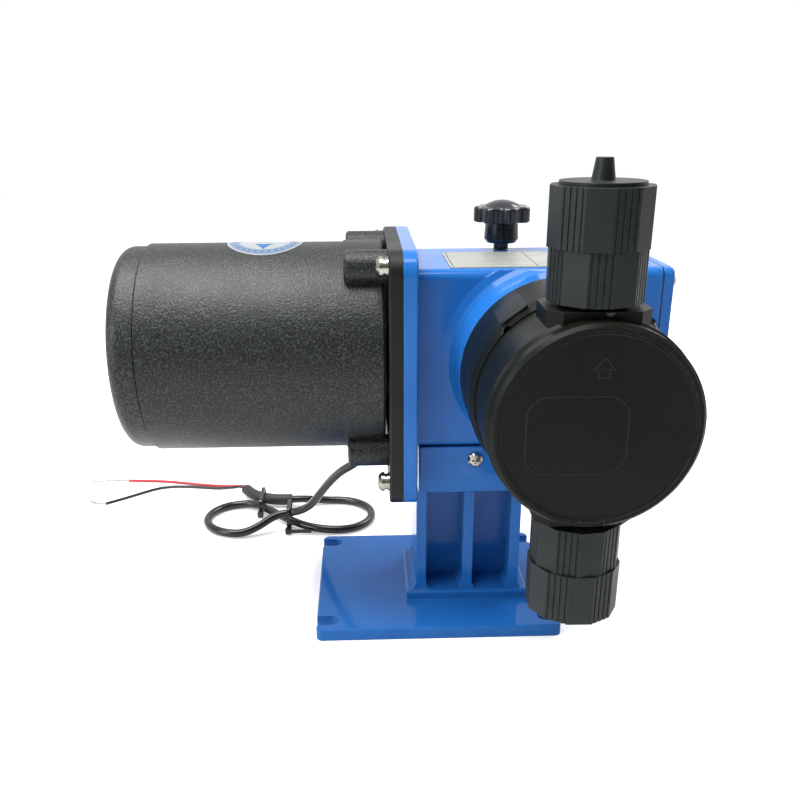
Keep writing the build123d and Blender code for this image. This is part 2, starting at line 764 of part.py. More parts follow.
def armature_core():
    core = bar_x(core_r, core_x0, core_x0 + core_length) - bar_x(shaft_r, core_x0 - 1, core_x0 + core_length + 1)
    for k in range(core_slots):
        slot = block(core_x0 - 1, core_x0 + core_length + 1, -core_slot_width / 2, core_slot_width / 2,
                     core_r - core_slot_depth, core_r + 2)
        core -= Pos(0, 0, axis_z) * Rot(360.0 * k / core_slots, 0, 0) * slot
    return core


def armature_windings():
    coils = []
    for x0 in (core_x0 - winding_length, core_x0 + core_length):
        x1 = x0 + winding_length
        first_r, last_r = (winding_r - 4, winding_r - 1) if x0 < core_x0 else (winding_r - 1, winding_r - 4)
        coils.append(turned_x([(shaft_r + 6, x0), (first_r, x0), (winding_r, (x0 + x1) / 2), (last_r, x1),
                               (shaft_r + 6, x1)]))
    return group(coils)


def commutator():
    x1 = commutator_x0 + commutator_length
    drum = bar_x(commutator_r, commutator_x0, x1) - bar_x(shaft_r, commutator_x0 - 1, x1 + 1)
    for k in range(core_slots):
        cut = block(commutator_x0 - 1, x1 + 1, -0.3, 0.3, commutator_r - 1.5, commutator_r + 1)
        drum -= Pos(0, 0, axis_z) * Rot(360.0 * k / core_slots, 0, 0) * cut
    return drum


def carbon_brushes():
    brushes = []
    mid = commutator_x0 + commutator_length / 2
    for side in (-1, 1):
        start = commutator_r + air
        z0 = axis_z + side * start
        z1 = axis_z + side * (start + brush_length)
        brushes.append(block(mid - brush_size / 2, mid + brush_size / 2, -brush_size / 2, brush_size / 2,
                             min(z0, z1), max(z0, z1)))
    return group(brushes)


def brush_holders():
    # a carrier ring inside the barrel with a box round each brush
    mid = commutator_x0 + commutator_length / 2
    outer = barrel_in_r - 0.02
    ring = bar_x(outer, mid - holder_half, mid + holder_half)
    ring -= bar_x(outer - holder_thick, mid - holder_half - 1, mid + holder_half + 1)
    for side in (-1, 1):
        start = axis_z + side * (commutator_r + 3)
        end = axis_z + side * (outer - holder_thick / 2)
        ring += block(mid - holder_half, mid + holder_half, -holder_half, holder_half,
                      min(start, end), max(start, end))
        far = axis_z + side * (commutator_r + air + brush_length)
        near = axis_z + side * commutator_r
        ring -= block(mid - brush_size / 2, mid + brush_size / 2, -brush_size / 2, brush_size / 2,
                      min(near, far), max(near, far))
    return ring


def cable_gland():
    body = turned_z([(cable_r, 0), (gland_r, 0), (gland_r, gland_length * 0.5), (gland_r - 1.6, gland_length * 0.6),
                     (gland_r - 1.6, gland_length), (cable_r, gland_length)])
    tilt = math.radians(gland_angle)
    seat = collar_r + 0.4
    place = Pos(gland_x, seat * math.sin(tilt), axis_z - seat * math.cos(tilt)) * Rot(180 + gland_angle, 0, 0)
    return place * body


# ---------------------------------------------------------------- gear train
def layshaft():
    # shaft with its pinion; one tooth points up into a gap of the main wheel
    x0 = house_x0 - small_bearing_width + 0.8
    shaft = bar_x(layshaft_r, x0, web_x + small_bearing_width - 0.4, 0, layshaft_z)
    pinion = Pos(second_mesh_x, 0, layshaft_z) * Rot(0, 90, 0) * Rot(0, 0, 180) * gear(
        pinion_teeth, 0.0, 0, gear_width)
    return shaft + pinion


def layshaft_wheel():
    def lighten(body):
        hub_gap = wheel_hub_r + 1
        rim_r = gear_module * wheel_teeth / 2 - 3.5
        for z0 in (-1, gear_width - 2.5):
            groove = bar_z(rim_r, z0, z0 + 3.5) - bar_z(hub_gap, z0 - 1, z0 + 4.5)
            body -= groove
        return body
    return gear_on_x(wheel_teeth, False, first_mesh_x, layshaft_z, layshaft_r, lighten)


def main_wheel():
    def lighten(body):
        hub_gap = cam_shaft_r + 4
        rim_r = gear_module * wheel_teeth / 2 - 3.5
        for z0 in (-1, gear_width - 2.5):
            body -= bar_z(rim_r, z0, z0 + 3.5) - bar_z(hub_gap, z0 - 1, z0 + 4.5)
        return body
    return gear_on_x(wheel_teeth, False, second_mesh_x, axis_z, cam_shaft_r, lighten)


def eccentric_shaft():
    x1 = side_cover_x0 - 1.5
    shaft = bar_x(cam_shaft_r, second_mesh_x - 1, x1)
    cam = bar_x(cam_hub_r, -cam_width / 2, cam_width / 2, cam_throw)
    shoulder = bar_x(cam_shaft_r + 1.5, gear_web_x1 + 0.5, gear_web_x1 + 5)
    return shaft + cam + shoulder


def cam_bearing():
    ring = bar_x(cam_bearing_r, -cam_width / 2, cam_width / 2, cam_throw)
    return ring - bar_x(cam_hub_r, -cam_width, cam_width, cam_throw)


# ---------------------------------------------------------------- push rod
def push_rod():
    half = yoke_half + yoke_rail
    yoke = block(-yoke_width / 2, yoke_width / 2, yoke_nose, yoke_back, axis_z - half, axis_z + half)
    yoke = chamfer(yoke.edges().filter_by(Axis.X), 3)
    yoke -= block(-yoke_width, yoke_width, yoke_y0, yoke_y1, axis_z - yoke_half, axis_z + yoke_half)
    rod = bar_y(rod_r, -rod_front, yoke_nose + 1)
    collar = bar_y(spring_r + spring_wire_r, yoke_nose - 1.5, yoke_nose + 1)
    tap = bar_y(4.0, -rod_front - 1, -rod_front + 14)
    return yoke + collar + rod - tap


def rod_bush():
    return bar_y(rod_r + bush_wall, -boss_front + 1, bush_y1) - bar_y(rod_r + fit, -boss_front, bush_y1 + 1)


def return_spring():
    y_far = spring_seat
    y_near = yoke_nose - 1.5
    length = y_near - y_far
    pitch = (length - 2 * spring_wire_r) / spring_turns
    path = Helix(pitch, pitch * spring_turns, spring_r)
    start = path @ 0
    section = Plane(origin=start, z_dir=path % 0) * RegularPolygon(spring_wire_r, 6)
    coil = sweep(section, path=path, is_frenet=True)
    return Pos(0, y_near - spring_wire_r, axis_z) * Rot(90, 0, 0) * coil


def oil_seal():
    # lip seal in the bracket floor
    rear = boss_front + 1.5
    return turned_y([(rod_r + fit, rear), (rod_r + 2.5, rear), (seal_r - 2, rear + 2), (seal_r - 2, rear),
                     (seal_r, rear), (seal_r, rear + seal_length), (rod_r + fit, rear + seal_length)])


# ---------------------------------------------------------------- stroke setting
def stop_plunger():
    plunger = bar_y(plunger_r, plunger_tip, house_y)
    tail = bar_y(plunger_tail_r, house_y - 1, rear_face + retainer_thick + 6)
    key = block(-key_width / 2, key_width / 2, plunger_tip + 1, house_y - 2,
                axis_z + plunger_r - 1, axis_z + plunger_r + key_height)
    return plunger + tail + key


def stroke_dial():
    y0 = house_y + 2.2
    knob_y0 = rear_face + retainer_thick + 0.5
    knob_y1 = knob_y0 + dial_length
    dial = bar_y(dial_hub_r + 2.5, y0, rear_face - 0.3) + bar_y(dial_hub_r, rear_face - 1, knob_y0 + 1)
    rim = bar_y(dial_rim_r, knob_y0, knob_y1)
    rim = chamfer(rim.faces().sort_by(Axis.Y)[-1].edges(), 1.5)
    for k in range(dial_flutes):
        a = 2 * math.pi * (k + 0.5) / dial_flutes
        x, z = (dial_rim_r + 1) * math.cos(a), axis_z + (dial_rim_r + 1) * math.sin(a)
        rim -= bar_y(dial_flute_r, knob_y0 + 4, knob_y1 + 1, x, z)
    dial += rim
    return dial - bar_y(plunger_tail_r + fit, y0 - 1, rear_face + retainer_thick + 8)


def dial_retainer():
    ring = bar_y(rear_boss_r, rear_face, rear_face + retainer_thick)
    ring -= bar_y(dial_hub_r + fit, rear_face - 1, rear_face + retainer_thick + 1)
    for x, z in retainer_places():
        ring -= bar_y(retainer_screw_r + fit, rear_face - 1, rear_face + 9, x, z)
        ring -= bar_y(2.6, rear_face + retainer_thick - 1.6, rear_face + 9, x, z)
    return ring


def retainer_places():
    r = (rear_boss_r + dial_hub_r + 2.5) / 2 + 0.2
    turns = [math.radians(90 + 360 / retainer_screw_count * k) for k in range(retainer_screw_count)]
    return [(r * math.cos(t), axis_z + r * math.sin(t)) for t in turns]


def retainer_screws():
    screws = []
    for x, z in retainer_places():
        head = bar_z(2.5, -1.6, -0.2) - Pos(0, 0, -0.2) * Box(6, 0.6, 0.8)
        screw = head + bar_z(retainer_screw_r - 0.02, -8, -1.5)
        screws.append(toward(x, rear_face + retainer_thick, z, "+y") * screw)
    return group(screws)


def clamp_collar():
    # split collar on the rear wall; the stud closes its slit and grips the plunger
    y1 = house_in_y
    y0 = y1 - clamp_depth
    half = clamp_height / 2
    collar = block(clamp_x - 7, 0, y0, y1, axis_z - half, axis_z + half) + bar_y(half, y0, y1)
    collar -= bar_y(plunger_r + fit, y0 - 1, y1 + 1)
    collar -= block(clamp_x - 9, 0, y0 - 1, y1 + 1, axis_z - clamp_slit / 2, axis_z + clamp_slit / 2)
    collar -= block(-key_width / 2 - fit, key_width / 2 + fit, y0 - 1, y1 + 1,
                    axis_z + plunger_r - 1, axis_z + plunger_r + key_height + fit)
    return collar - bar_z(stud_r + fit, axis_z - half - 1, axis_z + half + 1, clamp_x, clamp_y)


def knob_outline():
    outline = Circle(knob_core_r)
    for k in range(knob_lobes):
        a = 2 * math.pi * (k + 0.5) / knob_lobes
        outline += Pos(knob_lobe_ring * math.cos(a), knob_lobe_ring * math.sin(a)) * Circle(knob_lobe_r)
    return outline


def lock_knob():
    z0 = house_z1 + air
    z1 = z0 + knob_stem
    z2 = z1 + knob_hub
    z3 = z2 + knob_disc
    stem = bar_z(knob_stem_r, z0, z1)
    hub = turned_z([(0, z1), (knob_hub_r - 1.5, z1), (knob_hub_r, z1 + 2), (knob_hub_r - 0.6, z2), (0, z2)])
    star = Pos(0, 0, z2) * extrude(knob_outline(), knob_disc)
    star = fillet(star.edges().filter_by(Axis.Z), knob_valley_round)
    star = fillet(star.faces().sort_by(Axis.Z)[-1].edges(), knob_edge_round)
    star = chamfer(star.faces().sort_by(Axis.Z)[0].edges(), 0.6)
    dome_r = knob_core_r - 2.6
    ball_r = (dome_r**2 + knob_dome**2) / (2 * knob_dome)
    dome = Pos(0, 0, z3 + knob_dome - ball_r) * Sphere(ball_r) & bar_z(dome_r, z3 - 1, z3 + 2 * knob_dome)
    knob = stem + hub + star + dome
    return Pos(clamp_x, clamp_y, 0) * (knob - bar_z(stud_r - 0.02, z0 - 1, z1 + 6))


def lock_stud():
    return bar_z(stud_r - 0.02, axis_z - clamp_height / 2 + 1, house_z1 + air + knob_stem + 6, clamp_x, clamp_y)


# ---------------------------------------------------------------- pump head
def head_bracket():
    # open ring between gear housing and pump head, with the oil seal in its floor
    ring = turned_y([(seal_r - 3, boss_front), (boss_r, boss_front), (boss_r, bracket_front - 8),
                     (bracket_front_r, bracket_front - 1), (bracket_front_r, bracket_front),
                     (diaphragm_r + fit, bracket_front), (diaphragm_r + fit, bracket_front - diaphragm_rim),
                     (diaphragm_r - clamp_ring, bracket_front - diaphragm_rim),
                     (diaphragm_r - clamp_ring, boss_front + bracket_floor), (seal_r, boss_front + bracket_floor),
                     (seal_r, boss_front + 1.5), (seal_r - 3, boss_front + 1.5)])
    for side in (-1, 1):
        turn = side * bracket_pad_angle
        pad_y = -bracket_front + bracket_pad_inset
        pad = block(-bracket_pad_width / 2, bracket_pad_width / 2, pad_y, pad_y + bracket_pad_length,
                    boss_r - 3, boss_r + bracket_pad_height)
        pad = fillet(pad.edges().filter_by(Axis.Z), 2)
        ring += Pos(0, 0, axis_z) * Rot(0, turn, 0) * pad
    # weep hole below, which shows a torn diaphragm
    ring -= bar_z(weep_r, axis_z - boss_r - 5, axis_z - diaphragm_r + clamp_ring + 3,
                  0, -bracket_front + weep_inset)
    for dx, dz in ring_places(bracket_bolts, bracket_bolt_pcd, 45):
        ring -= bar_y(bracket_bolt_r + fit, -bracket_front - 1, -boss_front + 1, dx, axis_z + dz)
        ring -= bar_y(bracket_bolt_head_r + fit, -bracket_front - 1, -bracket_front + 16, dx, axis_z + dz)
    for dx, dz in ring_places(head_bolts, head_bolt_pcd, 0):
        ring -= bar_y(head_bolt_r, -bracket_front - 1, -bracket_front + 12, dx, axis_z + dz)
    return ring


def bracket_screws():
    screws = []
    length = bracket_front - 16 - boss_front + 12
    for dx, dz in ring_places(bracket_bolts, bracket_bolt_pcd, 45):
        screw = cap_screw(bracket_bolt_r - 0.02, length, bracket_bolt_head_r, bracket_bolt_head)
        screws.append(toward(dx, -bracket_front + 16, axis_z + dz, "-y") * screw)
    return group(screws)


def diaphragm():
    # clamped rim, one rolled convolution and a thick hub
    rear = bracket_front - diaphragm_rim
    hub_rear = bracket_front - 5.0
    film = diaphragm_film
    roll_r = (diaphragm_r - clamp_ring + diaphragm_hub_r) / 2
    return turned_y([(4.1, hub_rear), (diaphragm_hub_r - 1, hub_rear), (diaphragm_hub_r, hub_rear + 1),
                     (roll_r, rear - 0.6), (diaphragm_r - clamp_ring - 2, rear), (diaphragm_r, rear),
                     (diaphragm_r, bracket_front), (diaphragm_r - clamp_ring - 2, bracket_front),
                     (roll_r, rear - 0.6 + film), (diaphragm_hub_r, hub_rear + diaphragm_hub - 1),
                     (diaphragm_hub_r - 1.5, hub_rear + diaphragm_hub), (0, hub_rear + diaphragm_hub),
                     (0, hub_rear + diaphragm_hub - 1.5), (10.1, hub_rear + diaphragm_hub - 1.5),
                     (10.1, hub_rear + 2), (4.1, hub_rear + 2)])


def diaphragm_insert():
    # steel disc moulded in the hub, with the stud that screws into the rod
    hub_rear = bracket_front - 5.0
    disc = bar_y(10.0, -(hub_rear + diaphragm_hub - 1.6), -(hub_rear + 2.1))
    stud = bar_y(3.95, -(hub_rear + 3), -(rod_front - 12))
    return disc + stud


def backing_washer():
    # washer between rod and diaphragm hub
    hub_rear = bracket_front - 5.0
    return bar_y(rod_r + 3, -hub_rear, -rod_front) - bar_y(4.05, -hub_rear - 1, -rod_front + 1)


def pump_head():
    body = bar_y(head_r, -head_front, -head_back)
    front = body.faces().sort_by(Axis.Y)[0].edges()
    body = chamfer(front, 1.5)
    for side in (-1, 1):
        z0 = axis_z
        z1 = axis_z + side * port_block_top
        port = block(-port_block_half, port_block_half, -head_front, -head_back, min(z0, z1), max(z0, z1))
        port = chamfer(port.edges().filter_by(Axis.Z), port_block_chamfer)
        body += port
    # pumping chamber, dished to the diaphragm at the end of its stroke
    chamber_r = diaphragm_r - clamp_ring - 0.5
    hub_r = diaphragm_hub_r + 2
    chamber = turned_y([(0, head_back - 1), (chamber_r, head_back - 1), (chamber_r, head_back),
                        (hub_r, head_back + chamber_depth), (0, head_back + chamber_depth)])
    body -= chamber
    for side in (-1, 1):
        socket_floor = axis_z + side * (port_block_top - port_socket_depth)
        outside = axis_z + side * (port_block_top + 1)
        inner = axis_z + side * 12.0
        body -= bar_z(port_socket_r, min(socket_floor, outside), max(socket_floor, outside), 0, valve_y)
        body -= bar_z(channel_r, min(socket_floor, inner), max(socket_floor, inner), 0, valve_y)
        body -= bar_y(channel_r, valve_y, -head_back - chamber_depth + 1, 0, inner)
    for dx, dz in ring_places(head_bolts, head_bolt_pcd, 0):
        body -= bar_y(head_bolt_r + fit, -head_front - 1, -head_back + 1, dx, axis_z + dz)
        body -= bar_y(head_bolt_head_r + fit, -head_front - 1, -head_front + head_bolt_head, dx, axis_z + dz)
    return body


def head_bolt_set():
    bolts = []
    for dx, dz in ring_places(head_bolts, head_bolt_pcd, 0):
        bolt = cap_screw(head_bolt_r - 0.02, head_bolt_length, head_bolt_head_r, head_bolt_head - 0.3)
        bolts.append(toward(dx, -head_front + head_bolt_head, axis_z + dz, "-y") * bolt)
    return group(bolts)


def head_cover():
    rear = head_front
    front = head_front + cover_length
    shell = turned_y([(0, front - cover_dish), (cover_r - cover_rim_land, front - cover_dish),
                      (cover_r - cover_rim_land + 0.6, front), (cover_r - cover_edge, front),
                      (cover_r, front - cover_edge), (cover_r, rear), (cover_r - cover_rim, rear),
                      (cover_r - cover_rim, front - cover_dish - cover_face), (0, front - cover_dish - cover_face)])
    notch_z = axis_z - cover_r
    shell -= block(-pry_width / 2, pry_width / 2, -front - 1, -front + 2.2, notch_z - 1, notch_z + pry_depth)
    # snap posts that push into the sockets of two head bolts
    for dx, dz in ring_places(2, head_bolt_pcd, 0):
        shell += bar_y(2.2, -front + cover_face, -rear + 0.2, dx, axis_z + dz)
    return shell


# ---------------------------------------------------------------- valves
def grip_outline(across, turn):
    # twelve-sided grip: every second facet carries moulded grooves
    r = across / 2
    points = []
    for k in range(grip_facets):
        middle = math.radians(turn - 90 + 360.0 * k / grip_facets)
        half = math.pi / grip_facets
        apothem = r * math.cos(half)
        half_side = r * math.sin(half)
        ribbed = k % 2 == 0
        local = [(-half_side, 0.0)]
        if ribbed:
            pitch = 2 * half_side / grip_grooves
            for g in range(grip_grooves):
                centre = -half_side + pitch * (g + 0.5)
                local.append((centre - groove_width / 2, 0.0))
                local.append((centre - groove_width / 4, -groove_depth))
                local.append((centre + groove_width / 4, -groove_depth))
                local.append((centre + groove_width / 2, 0.0))
        for along, out in local:
            d = apothem + out
            points.append((d * math.cos(middle) - along * math.sin(middle),
                           d * math.sin(middle) + along * math.cos(middle)))
    return points


def grip(across, turn, z0, z1):
    outline = make_face(Polyline(grip_outline(across, turn), close=True))
    return Pos(0, 0, z0) * extrude(outline, z1 - z0)


def upright(shape, side):
    # valve parts are drawn upward from the port face; the suction side hangs below, mirrored
    if side > 0:
        return Pos(0, valve_y, top_port_z) * shape
    return Pos(0, valve_y, low_port_z) * mirror(shape, Plane.XY)


def valve_body(side, turn):
    # z = 0 is the port face; the ball rests on the lower end of its chamber
    body_z0 = body_gap
    body_z1 = body_gap + body_height
    body = grip(body_across, turn if side > 0 else -turn, body_z0, body_z1)
    body += bar_z(port_socket_r - fit, -port_socket_depth, body_z0 + 1)
    body += bar_z(spigot_r, body_z1 - 1, body_z1 + spigot_length)
    seat_z = seat_place(side)
    passage = [-port_socket_depth - 1, body_z1 + spigot_length + 1]
    body -= bar_z(channel_r, passage[0], passage[1])
    up = side
    ledge = seat_z + up * seat_height
    entry = seat_z - up * 1.0
    body -= bar_z(seat_r, min(entry, ledge), max(entry, ledge))
    top = ledge + up * ball_room()
    body -= bar_z(ball_chamber_r, min(ledge, top), max(ledge, top))
    # slots past the raised ball
    for k in range(3):
        far = top + up * 3.0
        slot = block(0, ball_chamber_r, -1.5, 1.5, min(ledge, far), max(ledge, far))
        body -= Rot(0, 0, 120 * k) * slot
    return upright(body, side)


def seat_place(side):
    # end of the seat away from the ball: port end above, open end below
    if side > 0:
        return -port_socket_depth
    return body_gap + body_height + spigot_length


def ball_rise():
    return math.sqrt(ball_r ** 2 - seat_bore_r ** 2) + ball_play


def ball_room():
    # height of the chamber above the seat for the ball and its lift
    return ball_rise() + ball_lift + math.sqrt(ball_r ** 2 - channel_r ** 2) + fit


def valve_seat(side):
    z0 = seat_place(side)
    z1 = z0 + side * seat_height
    ring = bar_z(seat_r - 0.02, min(z0, z1), max(z0, z1)) - bar_z(seat_bore_r, min(z0, z1) - 1, max(z0, z1) + 1)
    return upright(ring, side)


def valve_ball(side):
    z = seat_place(side) + side * (seat_height + ball_rise())
    return upright(Pos(0, 0, z) * Sphere(ball_r), side)


def torus_seal(side, ring_r, wire_r, z):
    ring = Pos(0, 0, z) * Torus(ring_r, wire_r)
    return upright(ring, side)


def union_nut(side, turn):
    z0 = body_gap + body_height + union_gap
    z1 = z0 + union_height
    nut = grip(union_across, turn if side > 0 else -turn, z0, z1)
    nut -= bar_z(spigot_r + fit, z0 - 1, z1 - union_lip)
    nut -= bar_z(plug_disc_r + fit, z1 - union_lip - 1, z1 + 1)
    return upright(nut, side)


def port_plug(side):
    z_top = body_gap + body_height + union_gap + union_height
    seat = z_top - union_lip - air
    under = body_gap + body_height + spigot_length + 2 * union_seal_wire
    disc_top = z_top + plug_rise
    plug = bar_z(spigot_r - 0.1, under, seat) + bar_z(plug_disc_r, seat - 1, disc_top)
    plug += turned_z([(0, disc_top - 1), (plug_nub_base_r, disc_top - 1), (plug_nub_base_r, disc_top),
                      (plug_nub_top_r, disc_top + plug_nub), (0, disc_top + plug_nub)])
    plug = plug - bar_z(seat_r + 2, under - 1, seat - 3)
    return upright(plug, side)


# ---------------------------------------------------------------- cable
def cord_path(points):
    # straight runs joined by arcs as large as the runs allow
    radii = []
    for before, here, after in zip(points, points[1:], points[2:]):
        run_in = Vector(*here) - Vector(*before)
        run_out = Vector(*after) - Vector(*here)
        turn = math.radians(run_in.get_angle(run_out))
        shorter = min(run_in.length, run_out.length)
        radii.append(0.45 * shorter / math.tan(turn / 2))
    path = FilletPolyline(*points, radius=radii)
    return path, radii


def cord(name, points, section_r):
    path, radii = cord_path(points)
    section = Plane(origin=path @ 0, z_dir=path % 0) * Circle(section_r)
    tube = sweep(section, path=path)
    share = tube.volume / (math.pi * section_r ** 2 * path.length)
    print(name, "length", round(path.length), "volume share", round(share, 3),
          "radii", [round(r) for r in radii])
    return tube


def tie_loop(x, y0, y1, z1):
    # strap round a bundle that crosses the plane at x, flat on the floor
    outer = Pos(x, (y0 + y1) / 2, z1 / 2) * Rot(0, 90, 0) * extrude(
        RectangleRounded(z1, y1 - y0, 4.0), tie_width / 2, both=True)
    inner = Pos(x, (y0 + y1) / 2, z1 / 2) * Rot(0, 90, 0) * extrude(
        RectangleRounded(z1 - 2 * tie_thick, y1 - y0 - 2 * tie_thick, 2.9), tie_width, both=True)
    return outer - inner


def cable_ties():
    big = tie_loop(tie_x, tie_y0, tie_y1, tie_top)
    head = block(tie_x - tie_head, tie_x + tie_head, tie_y0 - 2 * tie_head, tie_y0, 0.4, 0.4 + 2 * tie_head)
    head = chamfer(head.edges(), 0.5)
    tail = block(tie_x + tie_head - 1, tie_x + tie_tail, tie_y0 - 2 * tie_head + 0.8,
                 tie_y0 - 2 * tie_head + 0.8 + tie_thick, 1.2, 1.2 + tie_width)
    small = tie_loop(second_tie_x, second_tie_y0, second_tie_y1, second_tie_top)
    knot = block(second_tie_x - tie_head, second_tie_x + tie_head, second_tie_y0 - 2 * tie_head, second_tie_y0,
                 0.4, 0.4 + 2 * tie_head)
    knot = chamfer(knot.edges(), 0.5)
    return group([big + head + tail, small + knot])


gland_tilt = math.radians(gland_angle)
gland_end = collar_r + 0.4 + gland_length
cable_exit = (gland_x, gland_end * math.sin(gland_tilt), axis_z - gland_end * math.cos(gland_tilt))
lifted = cable_r + tie_thick + 0.3         # middle of a strand that lies on a tie strap
sleeve_z = sleeve_r + tie_thick + 0.3
tie_x = -158.0
tie_y0 = 84.6
tie_y1 = 105.4
tie_top = 19.0
second_tie_x = -182.0
second_tie_y0 = 113.6
second_tie_y1 = 142.8
second_tie_top = 13.0

cable_route = [
    cable_exit,
    (-100, 30, 84),
    (-107, 38, 74.5),
    (-116, 46.5, 66),
    (-124.5, 57, 54),
    (-132.5, 68, 39.5),
    (-139.5, 78.5, 26),
    (-147.3, 85.6, 18),
    (-157, 89.8, 14),
    (-168, 88.5, 12.8),
    (-180, 82.5, 6.5),
    (-192, 78.6, cable_r),
    (-205, 80.6, cable_r),
    (-216, 88.5, cable_r),
    (-222, 100.5, cable_r),
    (-220.5, 114, cable_r),
    (-212.5, 125, cable_r),
    (-200.5, 129.5, cable_r + 0.3),
    (-187, 127, lifted),
    (-172, 111.5, lifted),
    (-158, 97, lifted),
    (-143, 86.5, cable_r + 0.5),
    (-126, 82, cable_r),
    (-112, 83, cable_r),
    (-101, 91, cable_r),
    (-95.5, 103, cable_r),
    (-96.5, 116.5, cable_r),
    (-104, 127.5, cable_r),
    (-116.5, 134, cable_r),
    (-129, 134.5, cable_r),
    (-139.5, 132.6, lifted),
    (-149.5, 131.6, sleeve_z),
    (-158.5, 131, sleeve_z),
]
sleeve_route = [
    (-158.5, 131, sleeve_z),
    (-167.3, 130.4, sleeve_z),
    (-177.1, 132.5, sleeve_z),
    (-185.9, 137.2, sleeve_z),
    (-193.1, 144.1, sleeve_z),
    (-197.5, 151.7, sleeve_z),
]
red_route = [
    (-196.46, 152.3, sleeve_z),
    (-200.46, 159.23, sleeve_z),
    (-207, 164.5, 3.4),
    (-215, 168, 1.7),
    (-227, 171, core_wire_r),
    (-240, 174, core_wire_r),
    (-253, 177.5, core_wire_r),
    (-268, 181.5, core_wire_r),
    (-284, 184, core_wire_r),
    (-302, 185, core_wire_r),
    (-318, 188, core_wire_r),
    (-333, 184, core_wire_r),
]
black_route = [
    (-198.54, 151.1, sleeve_z),
    (-202.54, 158.03, sleeve_z),
    (-209.5, 161.5, 3.4),
    (-218, 164, 1.7),
    (-229, 166.3, core_wire_r),
    (-240, 168.8, core_wire_r),
    (-252, 170.4, core_wire_r),
    (-264, 171, core_wire_r),
    (-275, 167, core_wire_r),
    (-286, 158, core_wire_r),
    (-298, 148, core_wire_r),
    (-309, 140, core_wire_r),
    (-316, 139, core_wire_r),
    (-322, 144, core_wire_r),
]

if __name__ == "__main__":
    save(base_stand(), "base_stand")
    save(stand_screws(), "stand_screws")
    save(gear_housing(), "gear_housing")
    save(cover_gasket(), "cover_gasket")
    save(side_cover(), "side_cover")
    save(side_cover_screws(), "side_cover_screws")
    save(motor_plate(), "motor_plate")
    save(motor_bolts(), "motor_bolts")
    save(flange_screws(), "flange_screws")
    save(flange_washers(), "flange_washers")
    save(motor_barrel(), "motor_barrel")
    save(motor_rear_cap(), "motor_rear_cap")
    save(field_magnets(), "field_magnets")
    save(carbon_brushes(), "carbon_brushes")
    save(brush_holders(), "brush_holders")
    save(motor_shaft(), "motor_shaft")
    save(armature_core(), "armature_core")
    save(armature_windings(), "armature_windings")
    save(commutator(), "commutator")
    save(cable_gland(), "cable_gland")
    motor_bearing_places = [(cap_x0 + 5, 0, axis_z), (collar_x1 - end_wall, 0, axis_z)]
    save(group(bearings(motor_bearing_places, bearing_r - 0.02, shaft_r + 0.02, bearing_width)), "motor_bearings")
    lay_places = [(house_x0 - small_bearing_width + 0.4, 0, layshaft_z), (web_x, 0, layshaft_z)]
    lay_bearings = bearings(lay_places, small_bearing_r - 0.02, layshaft_r + 0.02, small_bearing_width)
    cam_places = [(web_x, 0, axis_z), (side_cover_x0 - gear_bearing_width - cover_seat, 0, axis_z)]
    cam_bearings = bearings(cam_places, gear_bearing_r - 0.02, cam_shaft_r + 0.02, gear_bearing_width)
    save(group(lay_bearings + cam_bearings), "gear_bearings")
    save(layshaft(), "layshaft")
    save(layshaft_wheel(), "layshaft_wheel")
    save(main_wheel(), "main_wheel")
    save(eccentric_shaft(), "eccentric_shaft")
    save(cam_bearing(), "cam_bearing")
    save(push_rod(), "push_rod")
    save(rod_bush(), "rod_bush")
    save(return_spring(), "return_spring")
    save(oil_seal(), "oil_seal")
    save(stop_plunger(), "stop_plunger")
    save(stroke_dial(), "stroke_dial")
    save(dial_retainer(), "dial_retainer")
    save(retainer_screws(), "retainer_screws")
    save(clamp_collar(), "clamp_collar")
    save(lock_knob(), "lock_knob")
    save(lock_stud(), "lock_stud")
    save(head_bracket(), "head_bracket")
    save(bracket_screws(), "bracket_screws")
    save(diaphragm(), "diaphragm")
    save(diaphragm_insert(), "diaphragm_insert")
    save(backing_washer(), "backing_washer")
    save(pump_head(), "pump_head")
    save(head_bolt_set(), "head_bolts")
    save(head_cover(), "head_cover")
    union_seal_z = body_gap + body_height + spigot_length + union_seal_wire
    seals = []
    for side in (1, -1):
        seals.append(torus_seal(side, port_seal_r, port_seal_wire, body_gap / 2))
        seals.append(torus_seal(side, union_seal_r, union_seal_wire, union_seal_z))
    save(group(seals), "o_rings")
    save(group([valve_seat(1), valve_seat(-1)]), "valve_seats")
    for label, side, body_turn, union_turn in (("discharge", 1, discharge_body_turn, discharge_union_turn),
                                               ("suction", -1, suction_body_turn, suction_union_turn)):
        save(valve_body(side, body_turn), label + "_valve_body")
        save(valve_ball(side), label + "_ball")
        save(union_nut(side, union_turn), label + "_union_nut")
    save(group([port_plug(1), port_plug(-1)]), "port_plugs")
    save(cord("motor_cable", cable_route, cable_r), "motor_cable")
    save(cord("cable_sleeve", sleeve_route, sleeve_r), "cable_sleeve")
    save(cord("red_wire", red_route, core_wire_r), "red_wire")
    save(cord("black_wire", black_route, core_wire_r), "black_wire")
    save(cable_ties(), "cable_ties")
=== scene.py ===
import bpy
import bmesh
import json
import math
from mathutils import Matrix, Vector

